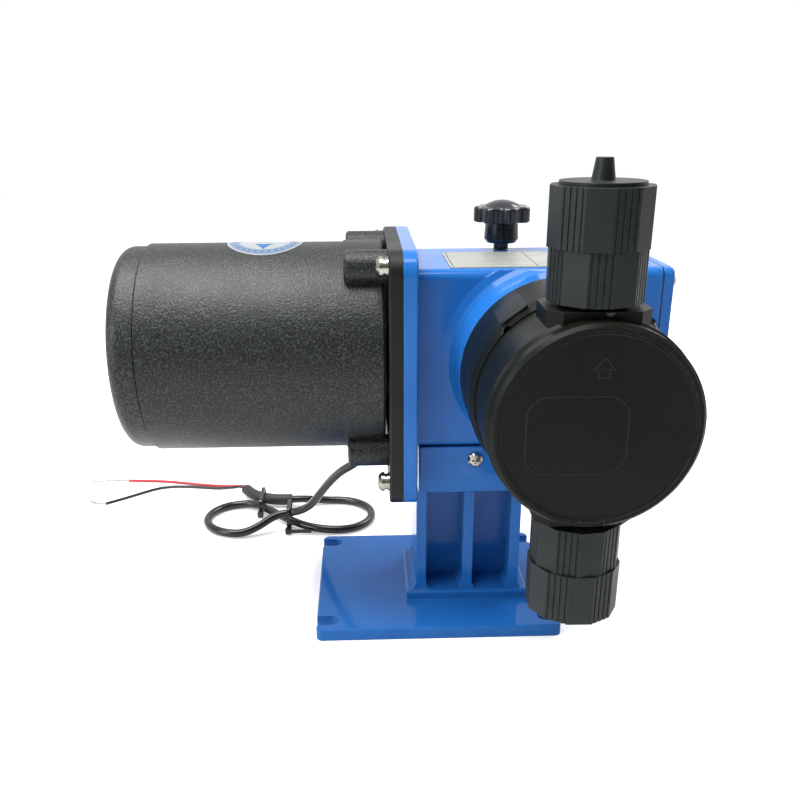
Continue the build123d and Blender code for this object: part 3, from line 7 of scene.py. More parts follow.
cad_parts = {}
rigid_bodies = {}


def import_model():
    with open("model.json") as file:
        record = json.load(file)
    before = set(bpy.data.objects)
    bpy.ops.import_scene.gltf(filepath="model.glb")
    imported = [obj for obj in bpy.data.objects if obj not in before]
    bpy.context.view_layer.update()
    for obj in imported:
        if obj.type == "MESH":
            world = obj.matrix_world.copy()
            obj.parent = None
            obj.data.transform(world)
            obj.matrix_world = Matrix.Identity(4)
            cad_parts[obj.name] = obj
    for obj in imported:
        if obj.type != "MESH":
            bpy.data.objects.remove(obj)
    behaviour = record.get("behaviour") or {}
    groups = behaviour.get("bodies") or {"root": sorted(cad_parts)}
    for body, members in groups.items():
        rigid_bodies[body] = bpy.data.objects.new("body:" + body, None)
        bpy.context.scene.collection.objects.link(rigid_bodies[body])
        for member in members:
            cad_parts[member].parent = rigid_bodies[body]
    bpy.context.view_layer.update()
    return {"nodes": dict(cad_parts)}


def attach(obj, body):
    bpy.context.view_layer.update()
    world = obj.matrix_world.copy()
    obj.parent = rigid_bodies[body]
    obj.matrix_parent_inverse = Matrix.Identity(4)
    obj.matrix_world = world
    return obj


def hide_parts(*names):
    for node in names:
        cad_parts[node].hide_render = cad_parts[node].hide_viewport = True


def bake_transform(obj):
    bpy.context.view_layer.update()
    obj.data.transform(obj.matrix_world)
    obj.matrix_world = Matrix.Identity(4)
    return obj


for old in list(bpy.data.objects):
    bpy.data.objects.remove(old)
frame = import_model()
scene = bpy.context.scene
scene.view_settings.view_transform = "Standard"
mm = 0.001
axisHeight = 166 * mm      # height of the motor and head axes
print("frame loaded")


# camera
cameraSet = {"place": (-98.6, -482.4, 291.8), "yaw": 1.6, "pitch": 20.9, "roll": -0.4,
             "lens": 37.976, "sensor": 36, "shiftX": 0.0141, "shiftY": 0.0464, "clipStart": 0.01}


def makeCamera(values):
    yaw, pitch, roll = (math.radians(values[key]) for key in ("yaw", "pitch", "roll"))
    forward = Vector((math.sin(yaw) * math.cos(pitch), math.cos(yaw) * math.cos(pitch), -math.sin(pitch)))
    level = Vector((math.cos(yaw), -math.sin(yaw), 0))
    upright = level.cross(forward)
    right = level * math.cos(roll) + upright * math.sin(roll)
    up = upright * math.cos(roll) - level * math.sin(roll)
    data = bpy.data.cameras.new("viewCamera")
    data.lens = values["lens"]
    data.sensor_width = values["sensor"]
    data.shift_x = values["shiftX"]
    data.shift_y = values["shiftY"]
    data.clip_start = values["clipStart"]
    camera = bpy.data.objects.new("viewCamera", data)
    scene.collection.objects.link(camera)
    turn = Matrix((right, up, -forward)).transposed().to_4x4()
    camera.matrix_world = Matrix.Translation(Vector(values["place"]) * mm) @ turn
    scene.camera = camera


makeCamera(cameraSet)
print("camera placed")


# cords: the cable, its sleeve and the two wires, in mm along their middles
cordSet = {
    "cable": [(-98.0, 23.052, 102.665), (-100, 30, 84), (-107, 38, 74.5), (-116, 46.5, 66),
              (-124.5, 57, 54), (-132.5, 68, 39.5), (-139.5, 78.5, 26), (-147.3, 85.6, 18),
              (-157, 89.8, 14), (-168, 88.5, 12.8), (-180, 82.5, 6.5), (-192, 78.6, 3),
              (-205, 80.6, 3), (-216, 88.5, 3), (-222, 100.5, 3), (-220.5, 114, 3),
              (-212.5, 125, 3), (-200.5, 129.5, 3.3), (-187, 127, 4.5), (-172, 111.5, 4.5),
              (-158, 97, 4.5), (-143, 86.5, 3.5), (-126, 82, 3), (-112, 83, 3), (-101, 91, 3),
              (-95.5, 103, 3), (-96.5, 116.5, 3), (-104, 127.5, 3), (-116.5, 134, 3),
              (-129, 134.5, 3), (-139.5, 132.6, 4.5), (-149.5, 131.6, 5.9), (-158.5, 131, 5.9)],
    "sleeve": [(-158.5, 131, 5.9), (-167.3, 130.4, 5.9), (-177.1, 132.5, 5.9), (-185.9, 137.2, 5.9),
               (-193.1, 144.1, 5.9), (-197.5, 151.7, 5.9)],
    "red": [(-196.46, 152.3, 5.9), (-200.46, 159.23, 5.9), (-207, 164.5, 3.4), (-215, 168, 1.7),
            (-227, 171, 1.1), (-240, 174, 1.1), (-253, 177.5, 1.1), (-268, 181.5, 1.1), (-284, 184, 1.1),
            (-302, 185, 1.1)],
    "redTip": [(-302, 185, 1.1), (-318, 188, 1.1), (-333, 184, 1.1)],
    "black": [(-198.54, 151.1, 5.9), (-202.54, 158.03, 5.9), (-209.5, 161.5, 3.4), (-218, 164, 1.7),
              (-229, 166.3, 1.1), (-240, 168.8, 1.1), (-252, 170.4, 1.1), (-264, 171, 1.1), (-275, 167, 1.1),
              (-286, 158, 1.1), (-298, 148, 1.1), (-309, 140, 1.1)],
    "blackTip": [(-309, 140, 1.1), (-316, 139, 1.1), (-322, 144, 1.1)],
    "cableRadius": 3.0, "sleeveRadius": 4.4, "wireRadius": 1.1, "tipRadius": 0.7,
    "roundSteps": 6, "runSteps": 12, "curveOrder": 3}


def makeCord(name, points, radius):
    data = bpy.data.curves.new(name, "CURVE")
    data.dimensions = "3D"
    data.bevel_depth = 1.0             # the points carry the radius
    data.bevel_resolution = cordSet["roundSteps"]
    data.resolution_u = cordSet["runSteps"]
    data.use_fill_caps = True
    spline = data.splines.new("NURBS")
    spline.points.add(len(points) - 1)
    for point, place in zip(spline.points, points):
        point.co = (place[0] * mm, place[1] * mm, place[2] * mm, 1)
        point.radius = radius * mm
    spline.order_u = cordSet["curveOrder"]
    spline.use_endpoint_u = True
    cord = bpy.data.objects.new(name, data)
    scene.collection.objects.link(cord)
    return cord


def splineLength(cord):
    bare = cord.data.copy()
    bare.bevel_depth = 0
    holder = bpy.data.objects.new("measure", bare)
    scene.collection.objects.link(holder)
    mesh = bpy.data.meshes.new_from_object(holder)
    places = [vert.co for vert in mesh.vertices]
    run = sum((places[edge.vertices[0]] - places[edge.vertices[1]]).length for edge in mesh.edges)
    bpy.data.objects.remove(holder)
    bpy.data.curves.remove(bare)
    bpy.data.meshes.remove(mesh)
    return run


motorCable = makeCord("motorCable", cordSet["cable"], cordSet["cableRadius"])
cableSleeve = makeCord("cableSleeve", cordSet["sleeve"], cordSet["sleeveRadius"])
redWire = makeCord("redWire", cordSet["red"], cordSet["wireRadius"])
redTip = makeCord("redWireTip", cordSet["redTip"], cordSet["tipRadius"])
blackWire = makeCord("blackWire", cordSet["black"], cordSet["wireRadius"])
blackTip = makeCord("blackWireTip", cordSet["blackTip"], cordSet["tipRadius"])
for piece in (motorCable, cableSleeve, redWire, redTip, blackWire, blackTip):
    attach(piece, "frame")
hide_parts("motor_cable")
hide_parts("cable_sleeve")
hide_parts("red_wire")
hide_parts("black_wire")
splineLength(motorCable)
splineLength(redWire)
splineLength(blackWire)
print("cords laid")


# shader node groups
groupSet = {"noiseRough": 0.55, "bevelSamples": 4, "grainDetail": 2.0, "swellDistance": 0.002,
            "grainDistance": 0.0004, "edgeGain": 6.0, "edgeDetail": 4.0, "edgeSpan": (0.42, 0.62),
            "tintDetail": 4.0, "tintSpan": (0.35, 0.7), "sheenDetail": 5.0, "sheenSpan": (0.3, 0.7)}


def newGroup(name, inputs, outputs):
    group = bpy.data.node_groups.new(name, "ShaderNodeTree")
    for label, kind, value in inputs:
        socket = group.interface.new_socket(name=label, in_out="INPUT", socket_type=kind)
        if value is not None:
            socket.default_value = value
    for label, kind in outputs:
        group.interface.new_socket(name=label, in_out="OUTPUT", socket_type=kind)
    source = group.nodes.new("NodeGroupInput")
    sink = group.nodes.new("NodeGroupOutput")
    return group, source, sink


def addNode(tree, kind, inputs=None, **settings):
    node = tree.nodes.new(kind)
    for key, value in settings.items():
        setattr(node, key, value)
    for key, value in (inputs or {}).items():
        if isinstance(value, bpy.types.NodeSocket):
            tree.links.new(value, node.inputs[key])
        else:
            node.inputs[key].default_value = value
    return node


def addMath(tree, operation, a, b=0.0, clamp=False):
    return addNode(tree, "ShaderNodeMath", {0: a, 1: b}, operation=operation, use_clamp=clamp).outputs[0]


def addMix(tree, factor, a, b):
    # sockets 6, 7 and output 2 are the colour ones
    return addNode(tree, "ShaderNodeMix", {0: factor, 6: a, 7: b}, data_type="RGBA").outputs[2]


def objectPlace(tree):
    return addNode(tree, "ShaderNodeTexCoord").outputs["Object"]


def addRange(tree, value, span, low=0.0, high=1.0):
    # value runs over span, the result from low to high
    return addNode(tree, "ShaderNodeMapRange", {"Value": value, "From Min": span[0], "From Max": span[1],
                                                "To Min": low, "To Max": high}).outputs[0]


def addNoise(tree, scale, detail):
    noise = addNode(tree, "ShaderNodeTexNoise", {"Vector": objectPlace(tree), "Scale": scale,
                                                 "Detail": detail, "Roughness": groupSet["noiseRough"]})
    return noise.outputs["Fac"]


def makeGrainGroup():
    # fine grain and a slow swell as one bump, over softened edges
    group, source, sink = newGroup(
        "surfaceGrain",
        [("Grain Scale", "NodeSocketFloat", 900.0), ("Grain Height", "NodeSocketFloat", 0.2),
         ("Swell Scale", "NodeSocketFloat", 60.0), ("Swell Height", "NodeSocketFloat", 0.1),
         ("Edge Radius", "NodeSocketFloat", 0.0006)],
        [("Normal", "NodeSocketVector"), ("Grain", "NodeSocketFloat")])
    grain = addNoise(group, source.outputs["Grain Scale"], groupSet["grainDetail"])
    swell = addNoise(group, source.outputs["Swell Scale"], groupSet["grainDetail"])
    soft = addNode(group, "ShaderNodeBevel", {"Radius": source.outputs["Edge Radius"]},
                   samples=groupSet["bevelSamples"])
    low = addNode(group, "ShaderNodeBump", {"Height": swell, "Strength": source.outputs["Swell Height"],
                                            "Distance": groupSet["swellDistance"],
                                            "Normal": soft.outputs[0]})
    fine = addNode(group, "ShaderNodeBump", {"Height": grain, "Strength": source.outputs["Grain Height"],
                                             "Distance": groupSet["grainDistance"],
                                             "Normal": low.outputs[0]})
    group.links.new(fine.outputs[0], sink.inputs["Normal"])
    group.links.new(grain, sink.inputs["Grain"])
    return group


def makeEdgeGroup():
    # mask along outer edges, broken up by noise
    group, source, sink = newGroup(
        "edgeMask",
        [("Reach", "NodeSocketFloat", 0.001), ("Breakup", "NodeSocketFloat", 260.0),
         ("Amount", "NodeSocketFloat", 1.0)],
        [("Mask", "NodeSocketFloat")])
    soft = addNode(group, "ShaderNodeBevel", {"Radius": source.outputs["Reach"]},
                   samples=groupSet["bevelSamples"])
    flat = addNode(group, "ShaderNodeNewGeometry")
    turned = addNode(group, "ShaderNodeVectorMath", operation="DOT_PRODUCT")
    group.links.new(soft.outputs[0], turned.inputs[0])
    group.links.new(flat.outputs["Normal"], turned.inputs[1])
    away = addMath(group, "SUBTRACT", 1.0, turned.outputs["Value"])
    edge = addMath(group, "MULTIPLY", away, groupSet["edgeGain"], clamp=True)
    noise = addNoise(group, source.outputs["Breakup"], groupSet["edgeDetail"])
    mask = addMath(group, "MULTIPLY", edge, addRange(group, noise, groupSet["edgeSpan"]))
    wearAndHighlightMask = addMath(group, "MULTIPLY", mask, source.outputs["Amount"], clamp=True)
    group.links.new(wearAndHighlightMask, sink.inputs["Mask"])
    return group


def makeTintGroup():
    # slow drift between two shades
    group, source, sink = newGroup(
        "shadeDrift",
        [("Main", "NodeSocketColor", None), ("Shade", "NodeSocketColor", None),
         ("Scale", "NodeSocketFloat", 30.0)],
        [("Colour", "NodeSocketColor")])
    noise = addNoise(group, source.outputs["Scale"], groupSet["tintDetail"])
    drift = addRange(group, noise, groupSet["tintSpan"])
    mixed = addMix(group, drift, source.outputs["Main"], source.outputs["Shade"])
    group.links.new(mixed, sink.inputs["Colour"])
    return group


def makeSheenGroup():
    # roughness that wanders between two values
    group, source, sink = newGroup(
        "roughDrift",
        [("Low", "NodeSocketFloat", 0.3), ("High", "NodeSocketFloat", 0.5),
         ("Scale", "NodeSocketFloat", 40.0)],
        [("Roughness", "NodeSocketFloat")])
    noise = addNoise(group, source.outputs["Scale"], groupSet["sheenDetail"])
    drift = addRange(group, noise, groupSet["sheenSpan"], source.outputs["Low"], source.outputs["High"])
    group.links.new(drift, sink.inputs["Roughness"])
    return group


groups = {"grain": makeGrainGroup(), "edge": makeEdgeGroup(), "tint": makeTintGroup(),
          "sheen": makeSheenGroup()}


def useGroup(tree, key, inputs):
    return addNode(tree, "ShaderNodeGroup", inputs, node_tree=groups[key])


def colour(values):
    return (values[0], values[1], values[2], 1.0)


# finishes
spotSet = {"noiseScale": 1400.0, "noiseDetail": 2.0, "ragged": 0.9, "reach": 1.4}
# what a finish has unless it says otherwise; lengths in mm; the last value is the roughness added on the
# lightened edges, which are part wear and part painted highlight
plainLook = {"metallic": 0.0, "specular": 0.5, "swellScale": 60.0, "swellHeight": 0.05, "edgeRadius": 0.5,
             "tintScale": 25.0, "sheenScale": 45.0, "paintedGlintSpan": (0.5, 0.62), "wearAndHighlightReach": 0.8,
             "wearAndHighlightBreakup": 260.0, "wearAndHighlightAmount": 0.6, "wearAndHighlightRough": 0.15, "spots": ()}


def spotMask(tree, place, radius):
    # round spot at a place on the piece, with a ragged rim
    away = addNode(tree, "ShaderNodeVectorMath", {0: objectPlace(tree), 1: tuple(c * mm for c in place)},
                   operation="DISTANCE").outputs["Value"]
    noise = addNoise(tree, spotSet["noiseScale"], spotSet["noiseDetail"])
    ragged = addMath(tree, "MULTIPLY", noise, spotSet["ragged"] * radius * mm)
    return addMath(tree, "LESS_THAN", addMath(tree, "ADD", away, ragged), spotSet["reach"] * radius * mm)


def makeFinish(name, ownLook):
    look = {**plainLook, **ownLook}
    material = bpy.data.materials.new(name)
    material.use_nodes = True
    tree = material.node_tree
    shader = tree.nodes["Principled BSDF"]
    shader.inputs["Metallic"].default_value = look["metallic"]
    shader.inputs["Specular IOR Level"].default_value = look["specular"]
    grain = useGroup(tree, "grain", {"Grain Scale": look["grainScale"], "Grain Height": look["grainHeight"],
                                     "Swell Scale": look["swellScale"],
                                     "Swell Height": look["swellHeight"],
                                     "Edge Radius": look["edgeRadius"] * mm})
    tree.links.new(grain.outputs["Normal"], shader.inputs["Normal"])
    tint = useGroup(tree, "tint", {"Main": colour(look["main"]), "Shade": colour(look["shade"]),
                                   "Scale": look["tintScale"]})
    body = tint.outputs["Colour"]
    sheen = useGroup(tree, "sheen", {"Low": look["rough"][0], "High": look["rough"][1],
                                     "Scale": look["sheenScale"]})
    rough = sheen.outputs["Roughness"]
    # painted glints: the highest grain is lightened to stand in for tiny highlights on the coat
    if "paintedGlint" in look:
        paintedGlint = addRange(tree, grain.outputs["Grain"], look["paintedGlintSpan"])
        body = addMix(tree, paintedGlint, body, colour(look["paintedGlint"]))
    # edges lightened: partly wear, partly painted highlight along every outer edge
    if "wearAndHighlight" in look:
        edge = useGroup(tree, "edge", {"Reach": look["wearAndHighlightReach"] * mm, "Breakup": look["wearAndHighlightBreakup"],
                                       "Amount": look["wearAndHighlightAmount"]}).outputs["Mask"]
        body = addMix(tree, edge, body, colour(look["wearAndHighlight"]))
        rough = addMath(tree, "ADD", rough, addMath(tree, "MULTIPLY", edge, look["wearAndHighlightRough"]))
    for place, radius, shade in look["spots"]:
        body = addMix(tree, spotMask(tree, place, radius), body, colour(shade))
    tree.links.new(body, shader.inputs["Base Color"])
    tree.links.new(rough, shader.inputs["Roughness"])
    return material


# the edge colours below are lighter than the bodies: wear and painted edge highlight together
finishSet = {
    "bluePaint": {"main": (0.0145, 0.121, 0.40), "shade": (0.011, 0.1, 0.345), "rough": (0.08, 0.17),
                  "specular": 0.2, "grainScale": 420, "grainHeight": 0.06, "swellScale": 70,
                  "swellHeight": 0.05, "edgeRadius": 0.9, "wearAndHighlight": (0.10, 0.27, 0.55), "wearAndHighlightAmount": 0.5},
    "blackPowder": {"main": (0.0065, 0.0075, 0.0075), "shade": (0.0048, 0.0056, 0.0055),
                    "rough": (0.34, 0.44), "specular": 0.3, "grainScale": 980, "grainHeight": 0.75,
                    "swellScale": 110, "swellHeight": 0.04, "edgeRadius": 0.7,
                    # the lighter grain colour below is painted glint, not a colour of the coat
                    "paintedGlint": (0.034, 0.039, 0.04), "wearAndHighlight": (0.06, 0.064, 0.064), "wearAndHighlightAmount": 0.35,
                    "spots": (((-205.0, -55.6, 186.2), 1.3, (0.002, 0.002, 0.003)),
                              ((-197.0, -57.9, 178.3), 0.9, (0.002, 0.002, 0.003)))},
    "blackCast": {"main": (0.0065, 0.0075, 0.007), "shade": (0.005, 0.0056, 0.0053), "rough": (0.36, 0.48),
                  "specular": 0.2, "grainScale": 1300, "grainHeight": 0.35, "edgeRadius": 0.7,
                  "wearAndHighlight": (0.05, 0.054, 0.054), "wearAndHighlightAmount": 0.4},
    "blackMoulded": {"main": (0.0038, 0.005, 0.0034), "shade": (0.0058, 0.0068, 0.005),
                     "rough": (0.28, 0.4), "specular": 0.1, "grainScale": 1400, "grainHeight": 0.12,
                     "swellHeight": 0.03, "edgeRadius": 0.4, "wearAndHighlight": (0.05, 0.053, 0.048),
                     "wearAndHighlightAmount": 0.6},
    "blackRibbed": {"main": (0.0075, 0.0105, 0.0105), "shade": (0.012, 0.016, 0.0165),
                    "rough": (0.36, 0.5), "specular": 0.22, "grainScale": 900, "grainHeight": 0.22,
                    "swellScale": 200, "swellHeight": 0.05, "edgeRadius": 0.35,
                    "wearAndHighlight": (0.05, 0.055, 0.055), "wearAndHighlightAmount": 0.4,
                    # painted highlight: a light spot standing in for the glint on top of the spout
                    "spots": (((-18.5, -140.0, 230.4), 1.8, (0.075, 0.085, 0.085)),)},
    "blackGlossy": {"main": (0.006, 0.008, 0.011), "shade": (0.009, 0.012, 0.016), "rough": (0.1, 0.2),
                    "grainScale": 300, "grainHeight": 0.05, "swellHeight": 0.04, "edgeRadius": 0.5},
    "rubberBlack": {"main": (0.007, 0.008, 0.0075), "shade": (0.011, 0.012, 0.0115), "rough": (0.18, 0.3),
                    "specular": 0.5, "grainScale": 1600, "grainHeight": 0.12, "swellHeight": 0.05,
                    "edgeRadius": 0.2},
    "sleeveBlack": {"main": (0.016, 0.018, 0.019), "shade": (0.03, 0.032, 0.033), "rough": (0.4, 0.55),
                    "specular": 0.3, "grainScale": 500, "grainHeight": 0.3, "swellScale": 260,
                    "swellHeight": 0.25, "edgeRadius": 0.2},
    "redInsulation": {"main": (0.50, 0.02, 0.018), "shade": (0.38, 0.014, 0.014), "rough": (0.28, 0.4),
                      "grainScale": 1500, "grainHeight": 0.08, "edgeRadius": 0.1},
    "tinnedCopper": {"main": (0.40, 0.38, 0.35), "shade": (0.30, 0.25, 0.20), "metallic": 1.0,
                     "rough": (0.3, 0.45), "grainScale": 900, "grainHeight": 0.4, "tintScale": 120,
                     "edgeRadius": 0.1},
    "platedSteel": {"main": (0.40, 0.385, 0.345), "shade": (0.28, 0.265, 0.23), "metallic": 1.0,
                    "rough": (0.16, 0.28), "grainScale": 1400, "grainHeight": 0.08, "tintScale": 300,
                    "sheenScale": 300, "edgeRadius": 0.15},
    "groundSteel": {"main": (0.46, 0.46, 0.46), "shade": (0.36, 0.36, 0.36), "metallic": 1.0,
                    "rough": (0.22, 0.38), "grainScale": 1800, "grainHeight": 0.12, "tintScale": 90,
                    "edgeRadius": 0.15},
    "sinteredBronze": {"main": (0.50, 0.31, 0.14), "shade": (0.38, 0.22, 0.10), "metallic": 1.0,
                       "rough": (0.4, 0.55), "grainScale": 2200, "grainHeight": 0.3, "edgeRadius": 0.2},
    "copperWound": {"main": (0.55, 0.22, 0.10), "shade": (0.42, 0.14, 0.06), "metallic": 1.0,
                    "rough": (0.25, 0.4), "grainScale": 1200, "grainHeight": 0.3, "edgeRadius": 0.2},
    "carbonBlock": {"main": (0.02, 0.02, 0.021), "shade": (0.03, 0.03, 0.031), "rough": (0.5, 0.65),
                    "grainScale": 2400, "grainHeight": 0.3, "edgeRadius": 0.2},
    "whitePolymer": {"main": (0.74, 0.74, 0.71), "shade": (0.68, 0.68, 0.64), "rough": (0.25, 0.35),
                     "grainScale": 900, "grainHeight": 0.05, "edgeRadius": 0.2}}
finishes = {name: makeFinish(name, look) for name, look in finishSet.items()}
print("finishes mixed")


# raised lines on the face of the head cover, in x and z; their colour is lifted as painted highlight
coverSet = {"rim": 42.0, "line": 0.5, "height": 0.35, "edge": (0.05, 0.055, 0.05), "ridgeHighlightAmount": 0.22,
            "panel": {"left": -31.0, "right": 12.8, "low": 146.0, "high": 181.2, "corner": 9.5},
            "latch": {"x": 0.5, "z": 123.6, "halfWidth": 5.2, "halfHeight": 2.0, "corner": 0.4},
            "arrow": {"x": 0.4, "low": 189.2, "neck": 193.0, "top": 197.8, "stem": 2.3, "slope": 1.1,
                      "overlap": 0.2}}


def addFold(tree, operation, first, *rest):
    for value in rest:
        first = addMath(tree, operation, first, value)
    return first


def boxDistance(tree, u, v, halfU, halfV, corner):
    # signed distance to a rectangle with round corners
    outU = addMath(tree, "SUBTRACT", addMath(tree, "ABSOLUTE", u), (halfU - corner) * mm)
    outV = addMath(tree, "SUBTRACT", addMath(tree, "ABSOLUTE", v), (halfV - corner) * mm)
    overU, overV = (addMath(tree, "MAXIMUM", out, 0.0) for out in (outU, outV))
    squares = addMath(tree, "ADD", addMath(tree, "MULTIPLY", overU, overU),
                      addMath(tree, "MULTIPLY", overV, overV))
    within = addMath(tree, "MINIMUM", addMath(tree, "MAXIMUM", outU, outV), 0.0)
    total = addMath(tree, "ADD", addMath(tree, "SQRT", squares), within)
    return addMath(tree, "SUBTRACT", total, corner * mm)


def ridgeMask(tree, distance, width):
    return addRange(tree, addMath(tree, "ABSOLUTE", distance), (0.0, width * mm), 1.0, 0.0)


def arrowDistance(tree, x, z, arrow):
    # signed distance to an arrow that points up
    side = addMath(tree, "ABSOLUTE", addMath(tree, "SUBTRACT", x, arrow["x"] * mm))
    above = addMath(tree, "SUBTRACT", z, arrow["top"] * mm)
    slope = addMath(tree, "ADD", addMath(tree, "MULTIPLY", side, arrow["slope"]), above)
    head = addMath(tree, "MAXIMUM", addMath(tree, "MULTIPLY", slope, 1 / math.hypot(arrow["slope"], 1)),
                   addMath(tree, "SUBTRACT", arrow["neck"] * mm, z))
    stem = addFold(tree, "MAXIMUM", addMath(tree, "SUBTRACT", side, arrow["stem"] * mm),
                   addMath(tree, "SUBTRACT", arrow["low"] * mm, z),
                   addMath(tree, "SUBTRACT", z, (arrow["neck"] + arrow["overlap"]) * mm))
    return addMath(tree, "MINIMUM", head, stem)


def makeCoverFinish(values):
    material = makeFinish("coverMoulded", finishSet["blackMoulded"])
    tree = material.node_tree
    shader = tree.nodes["Principled BSDF"]
    place = addNode(tree, "ShaderNodeSeparateXYZ", {0: objectPlace(tree)})
    x, z = place.outputs[0], place.outputs[2]
    up = addMath(tree, "SUBTRACT", z, axisHeight)
    away = addMath(tree, "SQRT", addMath(tree, "ADD", addMath(tree, "MULTIPLY", x, x),
                                         addMath(tree, "MULTIPLY", up, up)))
    panel = values["panel"]
    u = addMath(tree, "SUBTRACT", x, (panel["left"] + panel["right"]) / 2 * mm)
    v = addMath(tree, "SUBTRACT", z, (panel["low"] + panel["high"]) / 2 * mm)
    frameLine = boxDistance(tree, u, v, (panel["right"] - panel["left"]) / 2,
                            (panel["high"] - panel["low"]) / 2, panel["corner"])
    latch = values["latch"]
    latchLine = boxDistance(tree, addMath(tree, "SUBTRACT", x, latch["x"] * mm),
                            addMath(tree, "SUBTRACT", z, latch["z"] * mm), latch["halfWidth"],
                            latch["halfHeight"], latch["corner"])
    rimLine = addMath(tree, "SUBTRACT", away, values["rim"] * mm)
    arrowLine = arrowDistance(tree, x, z, values["arrow"])
    ridges = [ridgeMask(tree, line, values["line"]) for line in (rimLine, latchLine, frameLine, arrowLine)]
    relief = addFold(tree, "MAXIMUM", *ridges)
    under = shader.inputs["Normal"].links[0].from_socket
    bump = addNode(tree, "ShaderNodeBump", {"Height": relief, "Strength": 1.0,
                                            "Distance": values["height"] * mm, "Normal": under})
    tree.links.new(bump.outputs[0], shader.inputs["Normal"])
    base = shader.inputs["Base Color"].links[0].from_socket
    # painted highlight: the raised lines are lightened towards the edge colour
    edge = addMath(tree, "MULTIPLY", relief, values["ridgeHighlightAmount"])
    tree.links.new(addMix(tree, edge, base, colour(values["edge"])), shader.inputs["Base Color"])
    return material


finishes["coverMoulded"] = makeCoverFinish(coverSet)
print("head cover finish mixed")


# which finish each node wears
finishOfNode = {
    "bluePaint": ["base_stand", "gear_housing", "side_cover"],
    "blackPowder": ["motor_barrel", "motor_rear_cap"],
    "blackCast": ["motor_plate"],
    "blackMoulded": ["head_bracket", "pump_head", "brush_holders"],
    "coverMoulded": ["head_cover"],
    "blackRibbed": ["discharge_valve_body", "suction_valve_body", "discharge_union_nut", "suction_union_nut",
                    "port_plugs"],
    "blackGlossy": ["lock_knob", "stroke_dial", "dial_retainer"],
    "rubberBlack": ["o_rings", "oil_seal", "cover_gasket", "cable_gland", "motor_cable", "black_wire",
                    "cable_ties"],
    "sleeveBlack": ["cable_sleeve"],
    "redInsulation": ["red_wire"],
    "platedSteel": ["stand_screws", "side_cover_screws", "flange_screws", "flange_washers", "head_bolts",
                    "bracket_screws", "motor_bolts", "retainer_screws", "lock_stud"],
    "groundSteel": ["motor_shaft", "layshaft", "layshaft_wheel", "main_wheel", "eccentric_shaft",
                    "cam_bearing", "push_rod", "return_spring", "stop_plunger", "clamp_collar",
                    "motor_bearings", "gear_bearings", "armature_core", "diaphragm_insert",
                    "backing_washer", "field_magnets"],
    "sinteredBronze": ["rod_bush"],
    "copperWound": ["armature_windings", "commutator"],
    "carbonBlock": ["carbon_brushes"],
    "whitePolymer": ["diaphragm", "valve_seats", "discharge_ball", "suction_ball"]}


def dress(piece, finish):
    piece.data.materials.clear()
    piece.data.materials.append(finish)


for finishName, nodeNames in finishOfNode.items():
    for nodeName in nodeNames:
        dress(frame["nodes"][nodeName], finishes[finishName])
for piece, finishName, slotName in ((motorCable, "rubberBlack", "cable_black"),
                                    (cableSleeve, "sleeveBlack", "cable_black"),
                                    (redWire, "redInsulation", "wire_red"),
                                    (blackWire, "rubberBlack", "cable_black"),
                                    (redTip, "tinnedCopper", "bright_steel"),
                                    (blackTip, "tinnedCopper", "bright_steel")):
    dress(piece, finishes[finishName])
print("nodes dressed")


# mesh helpers
sameHeight = 0.001 * mm    # vertices closer than this in z lie on one level
weldReach = 0.0005 * mm    # vertices closer than this are merged
ringSegments = 72
cornerSteps = 6


def meshObject(name, shape):
    mesh = bpy.data.meshes.new(name)
    shape.to_mesh(mesh)
    shape.free()
    piece = bpy.data.objects.new(name, mesh)
    scene.collection.objects.link(piece)
    return piece


def meshPiece(name, shape, finish, body):
    bmesh.ops.recalc_face_normals(shape, faces=shape.faces)
    piece = meshObject(name, shape)
    dress(piece, finish)
    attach(piece, body)


def grownVerts(result):
    return [item for item in result["geom"] if isinstance(item, bmesh.types.BMVert)]


def thicken(shape, height):
    raised = grownVerts(bmesh.ops.extrude_face_region(shape, geom=list(shape.faces)))
    bmesh.ops.translate(shape, verts=raised, vec=(0, 0, height * mm))
    return shape


def flatShape(points, height):
    # outline in x and y, given thickness upward
    shape = bmesh.new()
    shape.faces.new([shape.verts.new((x * mm, y * mm, 0)) for x, y in points])
    return thicken(shape, height)


def softenTop(shape, height, width):
    top = [edge for edge in shape.edges
           if all(abs(vert.co.z - height * mm) < sameHeight for vert in edge.verts)]
    bmesh.ops.bevel(shape, geom=top, offset=width * mm, segments=2, profile=0.5, affect="EDGES", material=-1)


def sheetRing(outer, inner, rows, height, filled=False):
    # flat ring in rows of faces, so that it can be wrapped; filled closes its middle
    shape = bmesh.new()
    bmesh.ops.create_circle(shape, cap_ends=False, radius=outer * mm, segments=ringSegments)
    rim = list(shape.edges)
    for row in range(rows):
        before = outer + (inner - outer) * row / rows
        after = outer + (inner - outer) * (row + 1) / rows
        grown = bmesh.ops.extrude_edge_only(shape, edges=rim)
        verts = grownVerts(grown)
        rim = [item for item in grown["geom"] if isinstance(item, bmesh.types.BMEdge)
               and all(v in verts for v in item.verts)]
        bmesh.ops.scale(shape, verts=verts, vec=(after / before, after / before, 1))
    if filled:
        bmesh.ops.contextual_create(shape, geom=rim)
    bmesh.ops.recalc_face_normals(shape, faces=shape.faces)
    return thicken(shape, height)


def roundedCorners(width, depth, radius):
    points = []
    for k, (sx, sy) in enumerate(((1, 1), (-1, 1), (-1, -1), (1, -1))):
        for step in range(cornerSteps + 1):
            angle = math.radians(90 * k + 90 * step / cornerSteps)
            points.append((sx * (width / 2 - radius) + radius * math.cos(angle),
                           sy * (depth / 2 - radius) + radius * math.sin(angle)))
    return points


